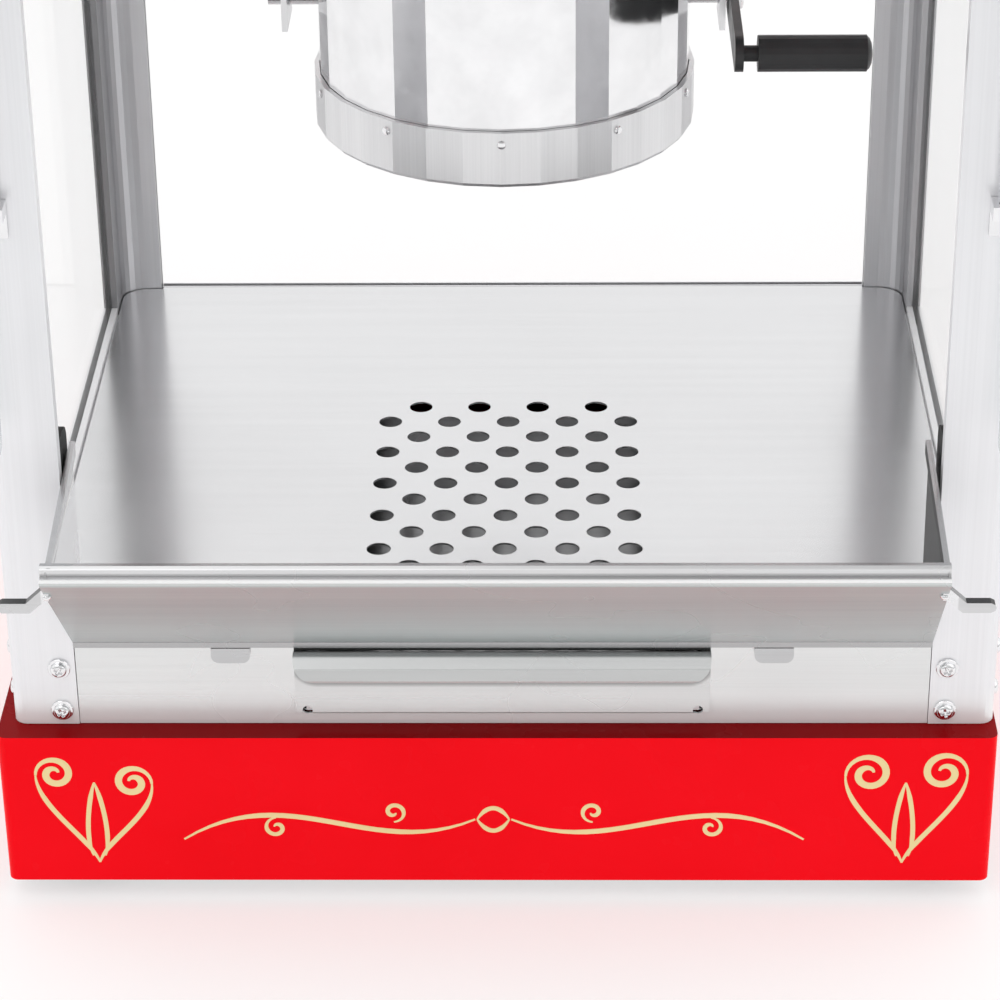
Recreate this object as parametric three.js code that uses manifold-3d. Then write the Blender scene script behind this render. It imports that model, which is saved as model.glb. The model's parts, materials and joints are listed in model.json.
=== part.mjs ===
// Countertop theatre-style popcorn machine, operator side towards -Y.
// Millimetres, +Z up. The model is drawn with X = 0 on the centre line, Y = 0 on the front
// face of the front posts and Z = 0 on the top of the base, then moved as one group so that
// the origin is under the middle of the whole machine, on the surface it stands on.
import * as THREE from 'three';
import { mergeVertices } from 'three/addons/utils/BufferGeometryUtils.js';
import Module from 'manifold-3d';

const wasm = await Module();
wasm.setup();

// ---------- driving dimensions ----------
const GAP = 0.3;                  // play between pieces that touch
const SHEET = 1.2;                // folded stainless sheet

const BASE_LEFT = -250.2;         // the base sits a little left of the cabin it carries
const BASE_RIGHT = 243.7;
const BASE_FRONT = -12.8;
const BASE_BACK = 427.2;
const BASE_HEIGHT = 85;
const BASE_WALL = 1.5;
const BASE_CORNER = 5;
const FOOT_HEIGHT = 12;
const FOOT_X = 212;
const FOOT_INSET_Y = 34;

const CABIN_TOP = 447;            // top ends of the four posts
const OPENING_HALF = 210;         // half the clear width between the front posts
const FRONT_POST_OUT = 242.8;
const FRONT_LEG_WALL = 9.5;
const REAR_POST_IN = 208.5;
const REAR_POST_OUT = 238.8;
const REAR_FACE = 414.4;          // back face of the rear posts
const POST_LEG_Y = 41;
const POST_WALL = 8;
const POST_OUTER_RADIUS = 7;
const POST_INNER_RADIUS = 14;
const SLOT_DEPTH = 12;
const SLOT_WIDTH = 3.4;
const GLASS = 3;
const SIDE_GLASS_X = 236;         // middle of the side panes
const REAR_GLASS_Y = 411.6;       // middle of the rear pane

const RAIL_TOP = 50;
const RAIL_IN = 231;
const LEDGE_IN = 222;             // inner edge of the ledges that carry the deck

const DECK_TOP = 47;
const DECK_FRONT = 2.2;
const DECK_BACK = 408.4;
const DECK_PLAY = 0.6;            // clearance round the posts
const HOLE_RADIUS = 6.2;
const HOLE_PITCH = 32.3;
const HOLE_ROW_STEP = 17.63;
const HOLE_FIRST_ROW = 251.8;
const HOLE_ROWS = 11;
const HOLE_SIDES = 16;

const APRON_FRONT = 0.6;
const APRON_TOP = 44;
const APRON_FLANGE_END = 222.6;   // stops short of the fillet inside the post
const SCREW_X = 218;
const SCREW_HEIGHTS = { upper: 32.5, lower: 8.6 };
const SCREW_HOLE = 2.8;

const DRAWER_HALF = 97;
const DRAWER_DEPTH = 262;
const DRAWER_FLOOR = 7.9;
const DRAWER_WALL_TOP = 38;
const DRAWER_SHEET = 1;
const RUNNER_HALF = 99.5;
const RUNNER_SHEET = 0.8;
const FRONT_PLATE_HALF = 102.2;
const LIP_BOTTOM = 30.8;
const LIP_RADIUS = 11;
const NOTCH_X = 96.4;             // small round reliefs at the drawer's lower corners

const TROUGH_SHEET = 1;
const TROUGH_HALF = 210;          // at the lower fold
const TROUGH_RIM_EDGE = { left: 211.8, right: 208.3 };
const CHEEK_FACE = { left: 209.5, right: 207.9 };
const TROUGH_RIM_Y = -70;         // upper edge of the sloping panel
const TROUGH_RIM_Z = 118.9;
const TROUGH_FOLD_Y = -1.2;
const TROUGH_FOLD_Z = 48;
const CHEEK_BACK_Y = 34;
const CHEEK_TOP_Z = 141;
const TAB_X = 133;
const TAB_HALF = 9.6;
const TAB_LOW = 36.8;
const TAB_CORNER = 4;
const TAB_TILT = 9;               // degrees, lower edge forward
const TAB_DROP = 1.45;            // from the bend line to the tab's top

const DOOR_AXIS_X = 231;
const DOOR_AXIS_Y = -7;
const DOOR_BOTTOM = 160;
const DOOR_TOP = 425;
const DOOR_OPEN = 110;            // degrees open as modelled
const DOOR_THICK = 4;
const DOOR_EDGE = 10;             // from the hinge axis to the sheet
const HINGE_LOW = 284;
const HINGE_HIGH = 408;
const KNOB_Z = 292;

const HOOD_BOTTOM = 430;
const HOOD_TOP = 622;
const HOOD_HALF_WIDTH = 247;
const HOOD_FRONT = -13;
const HOOD_BACK = 428;
const HOOD_WALL = 1.5;
const HOOD_CROWN = 34;            // height of the rounded shoulder
const HOOD_SHOULDER = 18;         // how far the shoulder comes in
const HOOD_CORNER = 20;
const CEILING = CABIN_TOP + GAP;
const SWITCH_X = { heat_switch: -46, motor_switch: 0, light_switch: 46 };
const SWITCH_Z = 505;
const ROCKER_PIVOT_Y = HOOD_FRONT + 3;
const ROCKER_THROW = 14;          // degrees between off and on
const INLET_X = 170;
const INLET_Z = 485;
const LAMP_X = -150;
const LAMP_Y = 330;

const KETTLE_Y = 220;
const TRUNNION_Z = 300;
const TRUNNION_RADIUS = 5;
const POT_BOTTOM = 246;
const POT_RIM = 348;
const POT_RADIUS = 95;
const POT_WALL = 2;
const CASE_BOTTOM = 235;
const HANGER_IN = 109.5;
const HANGER_OUT = 112.5;
const SPINDLE_RADIUS = 3;
const COUPLING_TOP = 437;         // top of the stirrer's slotted head
const COUPLING_SLOT = 431;        // floor of its slot
const GEAR_MODULE = 1.5;
const GEAR_TEETH = 36;
const PINION_TEETH = 12;
const GEAR_Z = 459;
const GEAR_THICK = 9;
const GEAR_CENTRES = GEAR_MODULE * (GEAR_TEETH + PINION_TEETH) / 2;
const MOTOR_PLATE_Z = 472;

// ---------- finishes: colour, roughness, metalness ----------
const FINISHES = {
  redPaint: [0xd3091f, 0.28, 0.05],
  satinAluminium: [0xe3e4e6, 0.42, 0.75],
  brushedSteel: [0xcfd0d2, 0.33, 0.95],
  polishedSteel: [0xdedfe0, 0.16, 1.0],
  rubber: [0x161617, 0.75, 0.0],
  blackPlastic: [0x1b1b1d, 0.4, 0.0],
  clearPane: [0xf2f7f8, 0.05, 0.0],
  lampGlass: [0xfff4dc, 0.15, 0.0],
  brass: [0xb99a4f, 0.35, 0.9],
  motorGrey: [0x6d7075, 0.5, 0.6],
};

const machine = new THREE.Group();

function place(name, geometry, finishName, parent = machine) {
  const [color, roughness, metalness] = FINISHES[finishName];
  const material = new THREE.MeshStandardMaterial({ color, roughness, metalness });
  material.flatShading = true;
  if (finishName === 'clearPane') {
    material.transparent = true;
    material.opacity = 0.3;
  }
  const mesh = new THREE.Mesh(geometry, material);
  mesh.name = name;
  parent.add(mesh);
  return mesh;
}

// ---------- shape helpers ----------
function box(x0, x1, y0, y1, z0, z1) {
  const geometry = new THREE.BoxGeometry(x1 - x0, y1 - y0, z1 - z0);
  return geometry.translate((x0 + x1) / 2, (y0 + y1) / 2, (z0 + z1) / 2);
}

// Two X values on one side of the centre line, the lower one first.
function between(sign, near, far) {
  return [sign * near, sign * far].sort((a, b) => a - b);
}

function outline(points) {
  return new THREE.Shape(points.map(([a, b]) => new THREE.Vector2(a, b)));
}

function mirrored(points, sign) {
  return outline(points.map(([x, other]) => [sign * x, other]));
}

function extruded(shape, depth, curveSegments) {
  return new THREE.ExtrudeGeometry(shape, { depth, bevelEnabled: false, curveSegments });
}

// A shape drawn in (Y, Z), extruded from x0 to x1.
function alongX(shape, x0, x1, curveSegments = 8) {
  const turn = new THREE.Matrix4().makeBasis(
    new THREE.Vector3(0, 1, 0), new THREE.Vector3(0, 0, 1), new THREE.Vector3(1, 0, 0));
  return extruded(shape, x1 - x0, curveSegments).applyMatrix4(turn).translate(x0, 0, 0);
}

// A shape drawn in (X, Z), extruded from y0 to y1.
function alongY(shape, y0, y1, curveSegments = 8) {
  const turn = new THREE.Matrix4().makeBasis(
    new THREE.Vector3(1, 0, 0), new THREE.Vector3(0, 0, 1), new THREE.Vector3(0, -1, 0));
  return extruded(shape, y1 - y0, curveSegments).applyMatrix4(turn).translate(0, y1, 0);
}

// A shape drawn in (X, Y), extruded from z0 to z1.
function alongZ(shape, z0, z1, curveSegments = 8) {
  return extruded(shape, z1 - z0, curveSegments).translate(0, 0, z0);
}

function roundedRect(a0, a1, b0, b1, radius) {
  const shape = new THREE.Shape();
  shape.moveTo(a0 + radius, b0);
  shape.lineTo(a1 - radius, b0);
  shape.absarc(a1 - radius, b0 + radius, radius, -Math.PI / 2, 0, false);
  shape.lineTo(a1, b1 - radius);
  shape.absarc(a1 - radius, b1 - radius, radius, 0, Math.PI / 2, false);
  shape.lineTo(a0 + radius, b1);
  shape.absarc(a0 + radius, b1 - radius, radius, Math.PI / 2, Math.PI, false);
  shape.lineTo(a0, b0 + radius);
  shape.absarc(a0 + radius, b0 + radius, radius, Math.PI, 1.5 * Math.PI, false);
  return shape;
}

// The outline of a folded sheet: a bend line, thickened to its left by the sheet's thickness.
function foldedSheet(points, thickness) {
  const line = points.map(([a, b]) => new THREE.Vector2(a, b));
  const leftOf = (from, to) => {
    const along = to.clone().sub(from).normalize();
    return new THREE.Vector2(-along.y, along.x);
  };
  const back = line.map((point, i) => {
    const before = i > 0 ? leftOf(line[i - 1], point) : leftOf(point, line[i + 1]);
    const after = i < line.length - 1 ? leftOf(point, line[i + 1]) : before;
    const mitre = before.clone().add(after).normalize();
    return point.clone().addScaledVector(mitre, thickness / mitre.dot(before));
  });
  return new THREE.Shape([...line, ...back.reverse()]);
}

// A solid of revolution about the vertical line through (x, y), from (radius, z) pairs.
function turned(profile, x, y, sides = 32) {
  const geometry = new THREE.LatheGeometry(profile.map(([r, z]) => new THREE.Vector2(r, z)), sides);
  return geometry.rotateX(Math.PI / 2).translate(x, y, 0);
}

// The same about a line along Y through the origin, from (radius, y) pairs.
function turnedAboutY(profile, sides) {
  return new THREE.LatheGeometry(profile.map(([r, y]) => new THREE.Vector2(r, y)), sides);
}

function rod(radius, from, to, sides = 16) {
  const start = new THREE.Vector3(...from);
  const end = new THREE.Vector3(...to);
  const geometry = new THREE.CylinderGeometry(radius, radius, start.distanceTo(end), sides);
  const along = end.clone().sub(start).normalize();
  geometry.applyQuaternion(new THREE.Quaternion().setFromUnitVectors(new THREE.Vector3(0, 1, 0), along));
  return geometry.translate(...start.add(end).multiplyScalar(0.5).toArray());
}

function solidOf(geometry) {
  const bare = geometry.clone();
  bare.deleteAttribute('normal');
  bare.deleteAttribute('uv');
  const merged = mergeVertices(bare, 1e-4);
  return new wasm.Manifold(new wasm.Mesh({
    numProp: 3,
    vertProperties: new Float32Array(merged.attributes.position.array),
    triVerts: new Uint32Array(merged.index.array),
  }));
}

function geometryOf(solid) {
  const mesh = solid.getMesh();
  const geometry = new THREE.BufferGeometry();
  geometry.setAttribute('position', new THREE.BufferAttribute(new Float32Array(mesh.vertProperties), 3));
  geometry.setIndex(new THREE.BufferAttribute(new Uint32Array(mesh.triVerts), 1));
  return geometry;
}

function join(...geometries) {
  return geometryOf(geometries.map(solidOf).reduce((whole, piece) => whole.add(piece)));
}

function cut(geometry, ...tools) {
  return geometryOf(tools.map(solidOf).reduce((whole, tool) => whole.subtract(tool), solidOf(geometry)));
}

function common(first, second) {
  return geometryOf(solidOf(first).intersect(solidOf(second)));
}

const SIDES = { left: -1, right: 1 };

// ---------- base ----------
function basePlan(inset) {
  return roundedRect(BASE_LEFT + inset, BASE_RIGHT - inset, BASE_FRONT + inset, BASE_BACK - inset,
    BASE_CORNER - inset / 2);
}
{
  const solidBase = alongZ(basePlan(0), -BASE_HEIGHT, 0, 4);
  const hollow = alongZ(basePlan(BASE_WALL), -BASE_HEIGHT - 1, -BASE_WALL, 4);
  place('base_shell', cut(solidBase, hollow), 'redPaint');
  const floor = alongZ(basePlan(BASE_WALL + GAP), -BASE_HEIGHT, -BASE_HEIGHT + BASE_WALL, 4);
  place('base_floor', floor, 'brushedSteel');

  const footTop = -BASE_HEIGHT - GAP;
  const footBottom = -BASE_HEIGHT - FOOT_HEIGHT;
  const footProfile = [[0, footBottom], [12, footBottom], [13.5, footBottom + 2], [15.5, footTop],
    [0, footTop]];
  const rows = { front: BASE_FRONT + FOOT_INSET_Y, rear: BASE_BACK - FOOT_INSET_Y };
  for (const [side, sign] of Object.entries(SIDES)) {
    for (const [end, y] of Object.entries(rows)) {
      place(`${end}_${side}_foot`, turned(footProfile, sign * FOOT_X, y, 20), 'rubber');
    }
  }
}

// ---------- corner posts ----------
function arcPoints(cx, cy, radius, from, to, steps) {
  return Array.from({ length: steps + 1 }, (_, i) => {
    const angle = THREE.MathUtils.degToRad(from + (to - from) * i / steps);
    return [cx + radius * Math.cos(angle), cy + radius * Math.sin(angle)];
  });
}

// The four corners of a pane slot centred on `middle` and open at `mouth`.
function slotCorners(middle, mouth) {
  const half = SLOT_WIDTH / 2;
  const floor = mouth - SLOT_DEPTH;
  return [[middle + half, mouth], [middle + half, floor], [middle - half, floor], [middle - half, mouth]];
}

// An L-shaped extrusion: rounded outside, filleted inside, slotted where a pane slides in.
function postOutline({ sign, facing, inner, outer, legWall, face, rearPane }) {
  const width = outer - inner;
  const rearSlot = slotCorners(REAR_FACE - REAR_GLASS_Y, width).map(([b, a]) => [a, b]).reverse();
  const fillet = POST_INNER_RADIUS;
  const points = [
    ...arcPoints(POST_OUTER_RADIUS, POST_OUTER_RADIUS, POST_OUTER_RADIUS, 180, 270, 5),
    [width, 0],
    ...(rearPane ? rearSlot : []),
    [width, POST_WALL],
    ...arcPoints(legWall + fillet, POST_WALL + fillet, fillet, 270, 180, 6),
    [legWall, POST_LEG_Y],
    ...slotCorners(outer - SIDE_GLASS_X, POST_LEG_Y),
    [0, POST_LEG_Y],
  ];
  return outline(points.map(([a, b]) => [sign * (outer - a), face + facing * b]));
}

for (const [side, sign] of Object.entries(SIDES)) {
  const frontShape = postOutline({
    sign,
    facing: 1,
    inner: OPENING_HALF,
    outer: FRONT_POST_OUT,
    legWall: FRONT_LEG_WALL,
    face: 0,
    rearPane: false,
  });
  const drills = Object.values(SCREW_HEIGHTS).map(
    (z) => rod(SCREW_HOLE, [sign * SCREW_X, -5, z], [sign * SCREW_X, POST_WALL + 5, z], 12));
  place(`front_${side}_post`, cut(alongZ(frontShape, GAP, CABIN_TOP), ...drills), 'satinAluminium');

  const rearShape = postOutline({
    sign,
    facing: -1,
    inner: REAR_POST_IN,
    outer: REAR_POST_OUT,
    legWall: POST_WALL,
    face: REAR_FACE,
    rearPane: true,
  });
  place(`rear_${side}_post`, alongZ(rearShape, GAP, CABIN_TOP), 'satinAluminium');
}

// ---------- sill rails and panes ----------
const PANE_TOP = CABIN_TOP - 1;
const PANE_INTO_SLOT = SLOT_DEPTH - 1;
for (const [side, sign] of Object.entries(SIDES)) {
  const ledgeTop = DECK_TOP - SHEET - GAP;
  const ledgeBottom = ledgeTop - 2;
  const section = [[LEDGE_IN, ledgeBottom], [RAIL_IN, ledgeBottom], [RAIL_IN, GAP], [REAR_POST_OUT, GAP],
    [REAR_POST_OUT, RAIL_TOP], ...slotCorners(SIDE_GLASS_X, RAIL_TOP), [RAIL_IN, RAIL_TOP],
    [RAIL_IN, ledgeTop], [LEDGE_IN, ledgeTop]];
  const front = POST_LEG_Y;
  const back = REAR_FACE - POST_LEG_Y;
  place(`${side}_rail`, alongY(mirrored(section, sign), front + GAP, back - GAP), 'satinAluminium');

  const [paneLow, paneHigh] = between(sign, SIDE_GLASS_X - GLASS / 2, SIDE_GLASS_X + GLASS / 2);
  const pane = box(paneLow, paneHigh, front - PANE_INTO_SLOT, back + PANE_INTO_SLOT,
    RAIL_TOP - SLOT_DEPTH + GAP, PANE_TOP);
  place(`${side}_pane`, pane, 'clearPane');
}
{
  const inner = DECK_BACK + GAP;
  const section = [[inner, GAP], [REAR_FACE, GAP], [REAR_FACE, DECK_TOP],
    ...slotCorners(REAR_GLASS_Y, DECK_TOP), [inner, DECK_TOP]];
  const railHalf = REAR_POST_IN - GAP;
  place('rear_rail', alongX(outline(section), -railHalf, railHalf), 'satinAluminium');
  const paneHalf = REAR_POST_IN + PANE_INTO_SLOT;
  const pane = box(-paneHalf, paneHalf, REAR_GLASS_Y - GLASS / 2, REAR_GLASS_Y + GLASS / 2,
    DECK_TOP - SLOT_DEPTH + GAP, PANE_TOP);
  place('rear_pane', pane, 'clearPane');
}

// ---------- front apron: a folded sheet between and behind the front posts ----------
{
  const flangeY = POST_WALL + 0.8;
  const turnIn = OPENING_HALF - GAP;
  const fold = [[-APRON_FLANGE_END, flangeY], [-turnIn, flangeY], [-turnIn, APRON_FRONT],
    [turnIn, APRON_FRONT], [turnIn, flangeY], [APRON_FLANGE_END, flangeY]];
  const sheet = alongZ(foldedSheet(fold, SHEET), GAP, APRON_TOP);
  const mouth = alongY(roundedRect(-98.2, 98.2, 6.2, 42.4, 1.5), APRON_FRONT - 5, APRON_FRONT + 5, 2);
  const reliefs = [-1, 1].map((sign) => rod(3, [sign * NOTCH_X, -5, 8.9], [sign * NOTCH_X, 5, 8.9], 12));
  const drills = [-1, 1].flatMap((sign) => Object.values(SCREW_HEIGHTS).map(
    (z) => rod(SCREW_HOLE, [sign * SCREW_X, 5, z], [sign * SCREW_X, POST_WALL + 5, z], 12)));
  place('front_apron', cut(sheet, mouth, ...reliefs, ...drills), 'brushedSteel');
}

// Pan-head screws with their washers, seated on the posts' faces.
for (const [side, sign] of Object.entries(SIDES)) {
  for (const [level, z] of Object.entries(SCREW_HEIGHTS)) {
    const profile = [[0, -4.1], [2.6, -3.7], [4.1, -2.4], [4.3, -1.2], [5.5, -1.2], [5.5, -GAP], [2.5, -GAP],
      [2.5, 12], [0, 12]];
    const screw = turnedAboutY(profile, 12).translate(sign * SCREW_X, 0, z);
    place(`${level}_${side}_screw`, screw, 'polishedSteel');
  }
}

// ---------- perforated popcorn deck ----------
function deckHoles() {
  return Array.from({ length: HOLE_ROWS }, (_, row) => {
    const count = row % 2 === 0 ? 4 : 5;
    const y = HOLE_FIRST_ROW - row * HOLE_ROW_STEP;
    return Array.from({ length: count }, (_hole, i) => {
      const x = (i - (count - 1) / 2) * HOLE_PITCH;
      return outline(arcPoints(x, y, HOLE_RADIUS, 0, 360 - 360 / HOLE_SIDES, HOLE_SIDES - 1));
    });
  }).flat();
}
{
  const notchX = OPENING_HALF - DECK_PLAY;
  const notchY = POST_WALL + DECK_PLAY;
  const rearX = REAR_POST_IN - DECK_PLAY;
  const corner = REAR_FACE - POST_WALL - DECK_PLAY;
  const radius = POST_INNER_RADIUS;
  const legX = REAR_POST_OUT - POST_WALL - DECK_PLAY;
  const rightEdge = [[notchX, DECK_FRONT], [notchX, notchY],
    ...arcPoints(legX - radius, notchY + radius, radius, -90, 0, 4),
    ...arcPoints(legX - radius, corner - radius, radius, 0, 90, 4),
    [rearX, corner], [rearX, DECK_BACK]];
  const leftEdge = rightEdge.map(([x, y]) => [-x, y]).reverse();
  const plan = outline([...rightEdge, ...leftEdge]);
  plan.holes = deckHoles();
  place('popcorn_deck', alongZ(plan, DECK_TOP - SHEET, DECK_TOP), 'brushedSteel');
}

// ---------- crumb drawer and its runner ----------
{
  const top = DRAWER_WALL_TOP;
  const shelf = 6.6;
  const sunk = 0.5;
  const run = [[-RUNNER_HALF, top], [-RUNNER_HALF, shelf], [-85, shelf], [-85, sunk], [85, sunk], [85, shelf],
    [RUNNER_HALF, shelf], [RUNNER_HALF, top]];
  const channel = alongY(foldedSheet(run, RUNNER_SHEET), 3, 270);
  const stop = box(-RUNNER_HALF + 0.5, RUNNER_HALF - 0.5, 269, 270, 0.9, 25);
  place('drawer_runner', join(channel, stop), 'brushedSteel');

  const trayFront = 0.6;
  const outside = box(-DRAWER_HALF, DRAWER_HALF, trayFront, DRAWER_DEPTH, DRAWER_FLOOR, top);
  const inside = box(-DRAWER_HALF + DRAWER_SHEET, DRAWER_HALF - DRAWER_SHEET, trayFront + DRAWER_SHEET,
    DRAWER_DEPTH - DRAWER_SHEET, DRAWER_FLOOR + DRAWER_SHEET, top + 5);
  place('crumb_tray', cut(outside, inside), 'brushedSteel');

  // The front plate folds over at the top into a hanging pull lip with rounded lower corners.
  const plateBack = 0.2;
  const fold = [[plateBack, 7.4], [plateBack, 41.6], [-1.3, 43], [-3.6, 43.6], [-6.4, 43.1], [-10, 37.5],
    [-11.3, 31.9], [-10.8, LIP_BOTTOM]];
  const sheet = alongX(foldedSheet(fold, DRAWER_SHEET), -FRONT_PLATE_HALF, FRONT_PLATE_HALF);
  const lipMask = alongY(roundedRect(-FRONT_PLATE_HALF, FRONT_PLATE_HALF, LIP_BOTTOM - 0.2, 80, LIP_RADIUS),
    -20, -2, 6);
  const plateMask = box(-110, 110, -2.01, 5, 0, 60);
  const notches = [-1, 1].map((sign) => rod(2.6, [sign * NOTCH_X, -3, 8.6], [sign * NOTCH_X, 5, 8.6], 12));
  place('drawer_front', cut(common(sheet, join(lipMask, plateMask)), ...notches), 'brushedSteel');
}

// ---------- removable front trough ----------
{
  const rimY = TROUGH_RIM_Y;
  const rimZ = TROUGH_RIM_Z;
  const fold = [[rimY + 8.6, rimZ + 4.6], [rimY + 8.6, rimZ + 7.4], [rimY + 7.6, rimZ + 9.1],
    [rimY + 5, rimZ + 9.1], [rimY + 3.6, rimZ + 7.7], [rimY + 3.6, rimZ + 4], [rimY - 0.6, rimZ + 3],
    [rimY + 1, rimZ],
    [TROUGH_FOLD_Y, TROUGH_FOLD_Z], [TROUGH_FOLD_Y, TROUGH_FOLD_Z - 3]];
  const wide = TROUGH_RIM_EDGE.left;
  const sheet = alongX(foldedSheet(fold, TROUGH_SHEET), -wide - 1, wide + 1);
  const frontView = outline([[-TROUGH_HALF, 0], [TROUGH_HALF, 0], [TROUGH_HALF, TROUGH_FOLD_Z],
    [TROUGH_RIM_EDGE.right, rimZ], [TROUGH_RIM_EDGE.right, 200], [-wide, 200], [-wide, rimZ],
    [-TROUGH_HALF, TROUGH_FOLD_Z]]);
  const panel = common(sheet, alongY(frontView, -100, 20));
  const sole = box(-CHEEK_FACE.left, CHEEK_FACE.right, -1, 18, DECK_TOP + 0.5, DECK_TOP + 1.5);

  // The cheeks stand behind the panel, with a folded hem along their upper edges.
  const cheek = [[-0.8, 48.4], [rimY + 1.4, rimZ + 0.4], [rimY + 4.1, rimZ + 7.9], [CHEEK_BACK_Y,
    CHEEK_TOP_Z],
    [30, 47.8], [-0.8, 47.8]];
  const hemStart = [rimY + 4, rimZ + 8.4];
  const hemSlope = (CHEEK_TOP_Z - hemStart[1]) / (CHEEK_BACK_Y - hemStart[0]);
  const hemAt = (y, drop) => [y, hemStart[1] + hemSlope * (y - hemStart[0]) - drop];
  const hem = [hemAt(rimY + 4, 0), hemAt(CHEEK_BACK_Y - 0.1, 0), hemAt(CHEEK_BACK_Y - 0.4, 7),
    hemAt(rimY + 4.5, 7)];

  const pieces = Object.entries(SIDES).flatMap(([side, sign]) => {
    const face = CHEEK_FACE[side];
    const ear = [[-2.5, 112.6], [0.8, 112.6], [8.6, 105.4], [20, 105.4], [22, 104.4], [22.6, 102.8],
      [22, 101.2], [20, 100.2], [7, 100.2], [-0.6, 106.8], [-2.5, 106.8]];
    const earOutline = mirrored(ear.map(([out, z]) => [TROUGH_RIM_EDGE[side] + out, z]), sign);
    return [
      alongX(outline(cheek), ...between(sign, face - TROUGH_SHEET, face)),
      alongX(outline(hem), ...between(sign, face - 2.8, face - 1.1)),
      alongY(earOutline, -61, -56),
    ];
  });
  place('front_trough', join(panel, sole, ...pieces), 'brushedSteel');

  // Two tabs hang from the panel's lower flange and rest against the apron.
  const hingeZ = 46;
  for (const [side, sign] of Object.entries(SIDES)) {
    const low = TAB_LOW + TAB_CORNER;
    const top = hingeZ - TAB_DROP;
    const face = outline([
      [sign * TAB_X - TAB_HALF, top],
      ...arcPoints(sign * TAB_X - TAB_HALF + TAB_CORNER, low, TAB_CORNER, 180, 270, 5),
      ...arcPoints(sign * TAB_X + TAB_HALF - TAB_CORNER, low, TAB_CORNER, 270, 360, 5),
      [sign * TAB_X + TAB_HALF, top]]);
    const tab = alongY(face, -0.5, 0.5, 3);
    tab.translate(0, 0, -hingeZ).rotateX(THREE.MathUtils.degToRad(-TAB_TILT));
    tab.translate(0, TROUGH_FOLD_Y + 0.5, hingeZ);
    place(`${side}_trough_tab`, tab, 'brushedSteel');
  }
}

// ---------- corner blocks that keep the trough's cheeks in place ----------
for (const [side, sign] of Object.entries(SIDES)) {
  const block = new THREE.Shape();
  block.moveTo(12.5, DECK_TOP + 0.4);
  block.lineTo(37, DECK_TOP + 0.4);
  block.lineTo(37, 142);
  block.absarc(28, 142, 9, 0, Math.PI / 2, false);
  block.absarc(16.5, 147, 4, Math.PI / 2, Math.PI, false);
  place(`${side}_corner_block`, alongX(block, ...between(sign, 211.2, 223), 4), 'rubber');
}

// ---------- doors, drawn closed about their hinge axis and swung open ----------
for (const [side, sign] of Object.entries(SIDES)) {
  const door = new THREE.Group();
  door.position.set(sign * DOOR_AXIS_X, DOOR_AXIS_Y, 0);
  door.rotation.z = THREE.MathUtils.degToRad(sign * DOOR_OPEN);
  machine.add(door);

  const sheetFront = -DOOR_THICK / 2;
  const [x0, x1] = between(-sign, DOOR_EDGE, DOOR_AXIS_X - 1.5);
  const sheet = alongY(roundedRect(x0, x1, DOOR_BOTTOM, DOOR_TOP, 8), sheetFront, -sheetFront, 4);
  place(`${side}_door`, sheet, 'clearPane', door);

  const pin = rod(3, [0, 0, HINGE_LOW - 6], [0, 0, HINGE_HIGH + 6], 16);
  const barrel = rod(4, [0, 0, HINGE_LOW], [0, 0, HINGE_HIGH], 16);
  const strap = box(...between(-sign, 0, 20), sheetFront - GAP - 1.4, sheetFront - GAP,
    HINGE_LOW + 2, HINGE_HIGH - 2);
  place(`${side}_door_hinge`, join(pin, barrel, strap), 'polishedSteel', door);

  const knobProfile = [[0, 0], [7, 0], [7, 1.6], [4, 3], [4, 8], [8.5, 12], [9.5, 16], [8, 19], [4, 20.5],
    [0, 21]];
  const knob = turnedAboutY(knobProfile, 14).rotateX(Math.PI);
  knob.translate(-sign * (DOOR_AXIS_X - 22), sheetFront - GAP, KNOB_Z);
  place(`${side}_door_knob`, knob, 'blackPlastic', door);

  const eyes = { lower: [HINGE_LOW - 7, HINGE_LOW - GAP], upper: [HINGE_HIGH + GAP, HINGE_HIGH + 7] };
  for (const [level, [z0, z1]] of Object.entries(eyes)) {
    const [plateLow, plateHigh] = level === 'lower' ? [z0 - 12, z1] : [z0, z1 + 12];
    const width = between(sign, DOOR_AXIS_X - 7, DOOR_AXIS_X + 7);
    const eye = box(...width, -13, -GAP, z0, z1);
    const plate = box(...width, -2.3, -GAP, plateLow, plateHigh);
    const x = sign * DOOR_AXIS_X;
    const bore = rod(3.3, [x, DOOR_AXIS_Y, z0 - 1], [x, DOOR_AXIS_Y, z1 + 1], 16);
    place(`${side}_${level}_hinge_bracket`, cut(join(eye, plate), bore), 'polishedSteel');
  }
}

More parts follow.
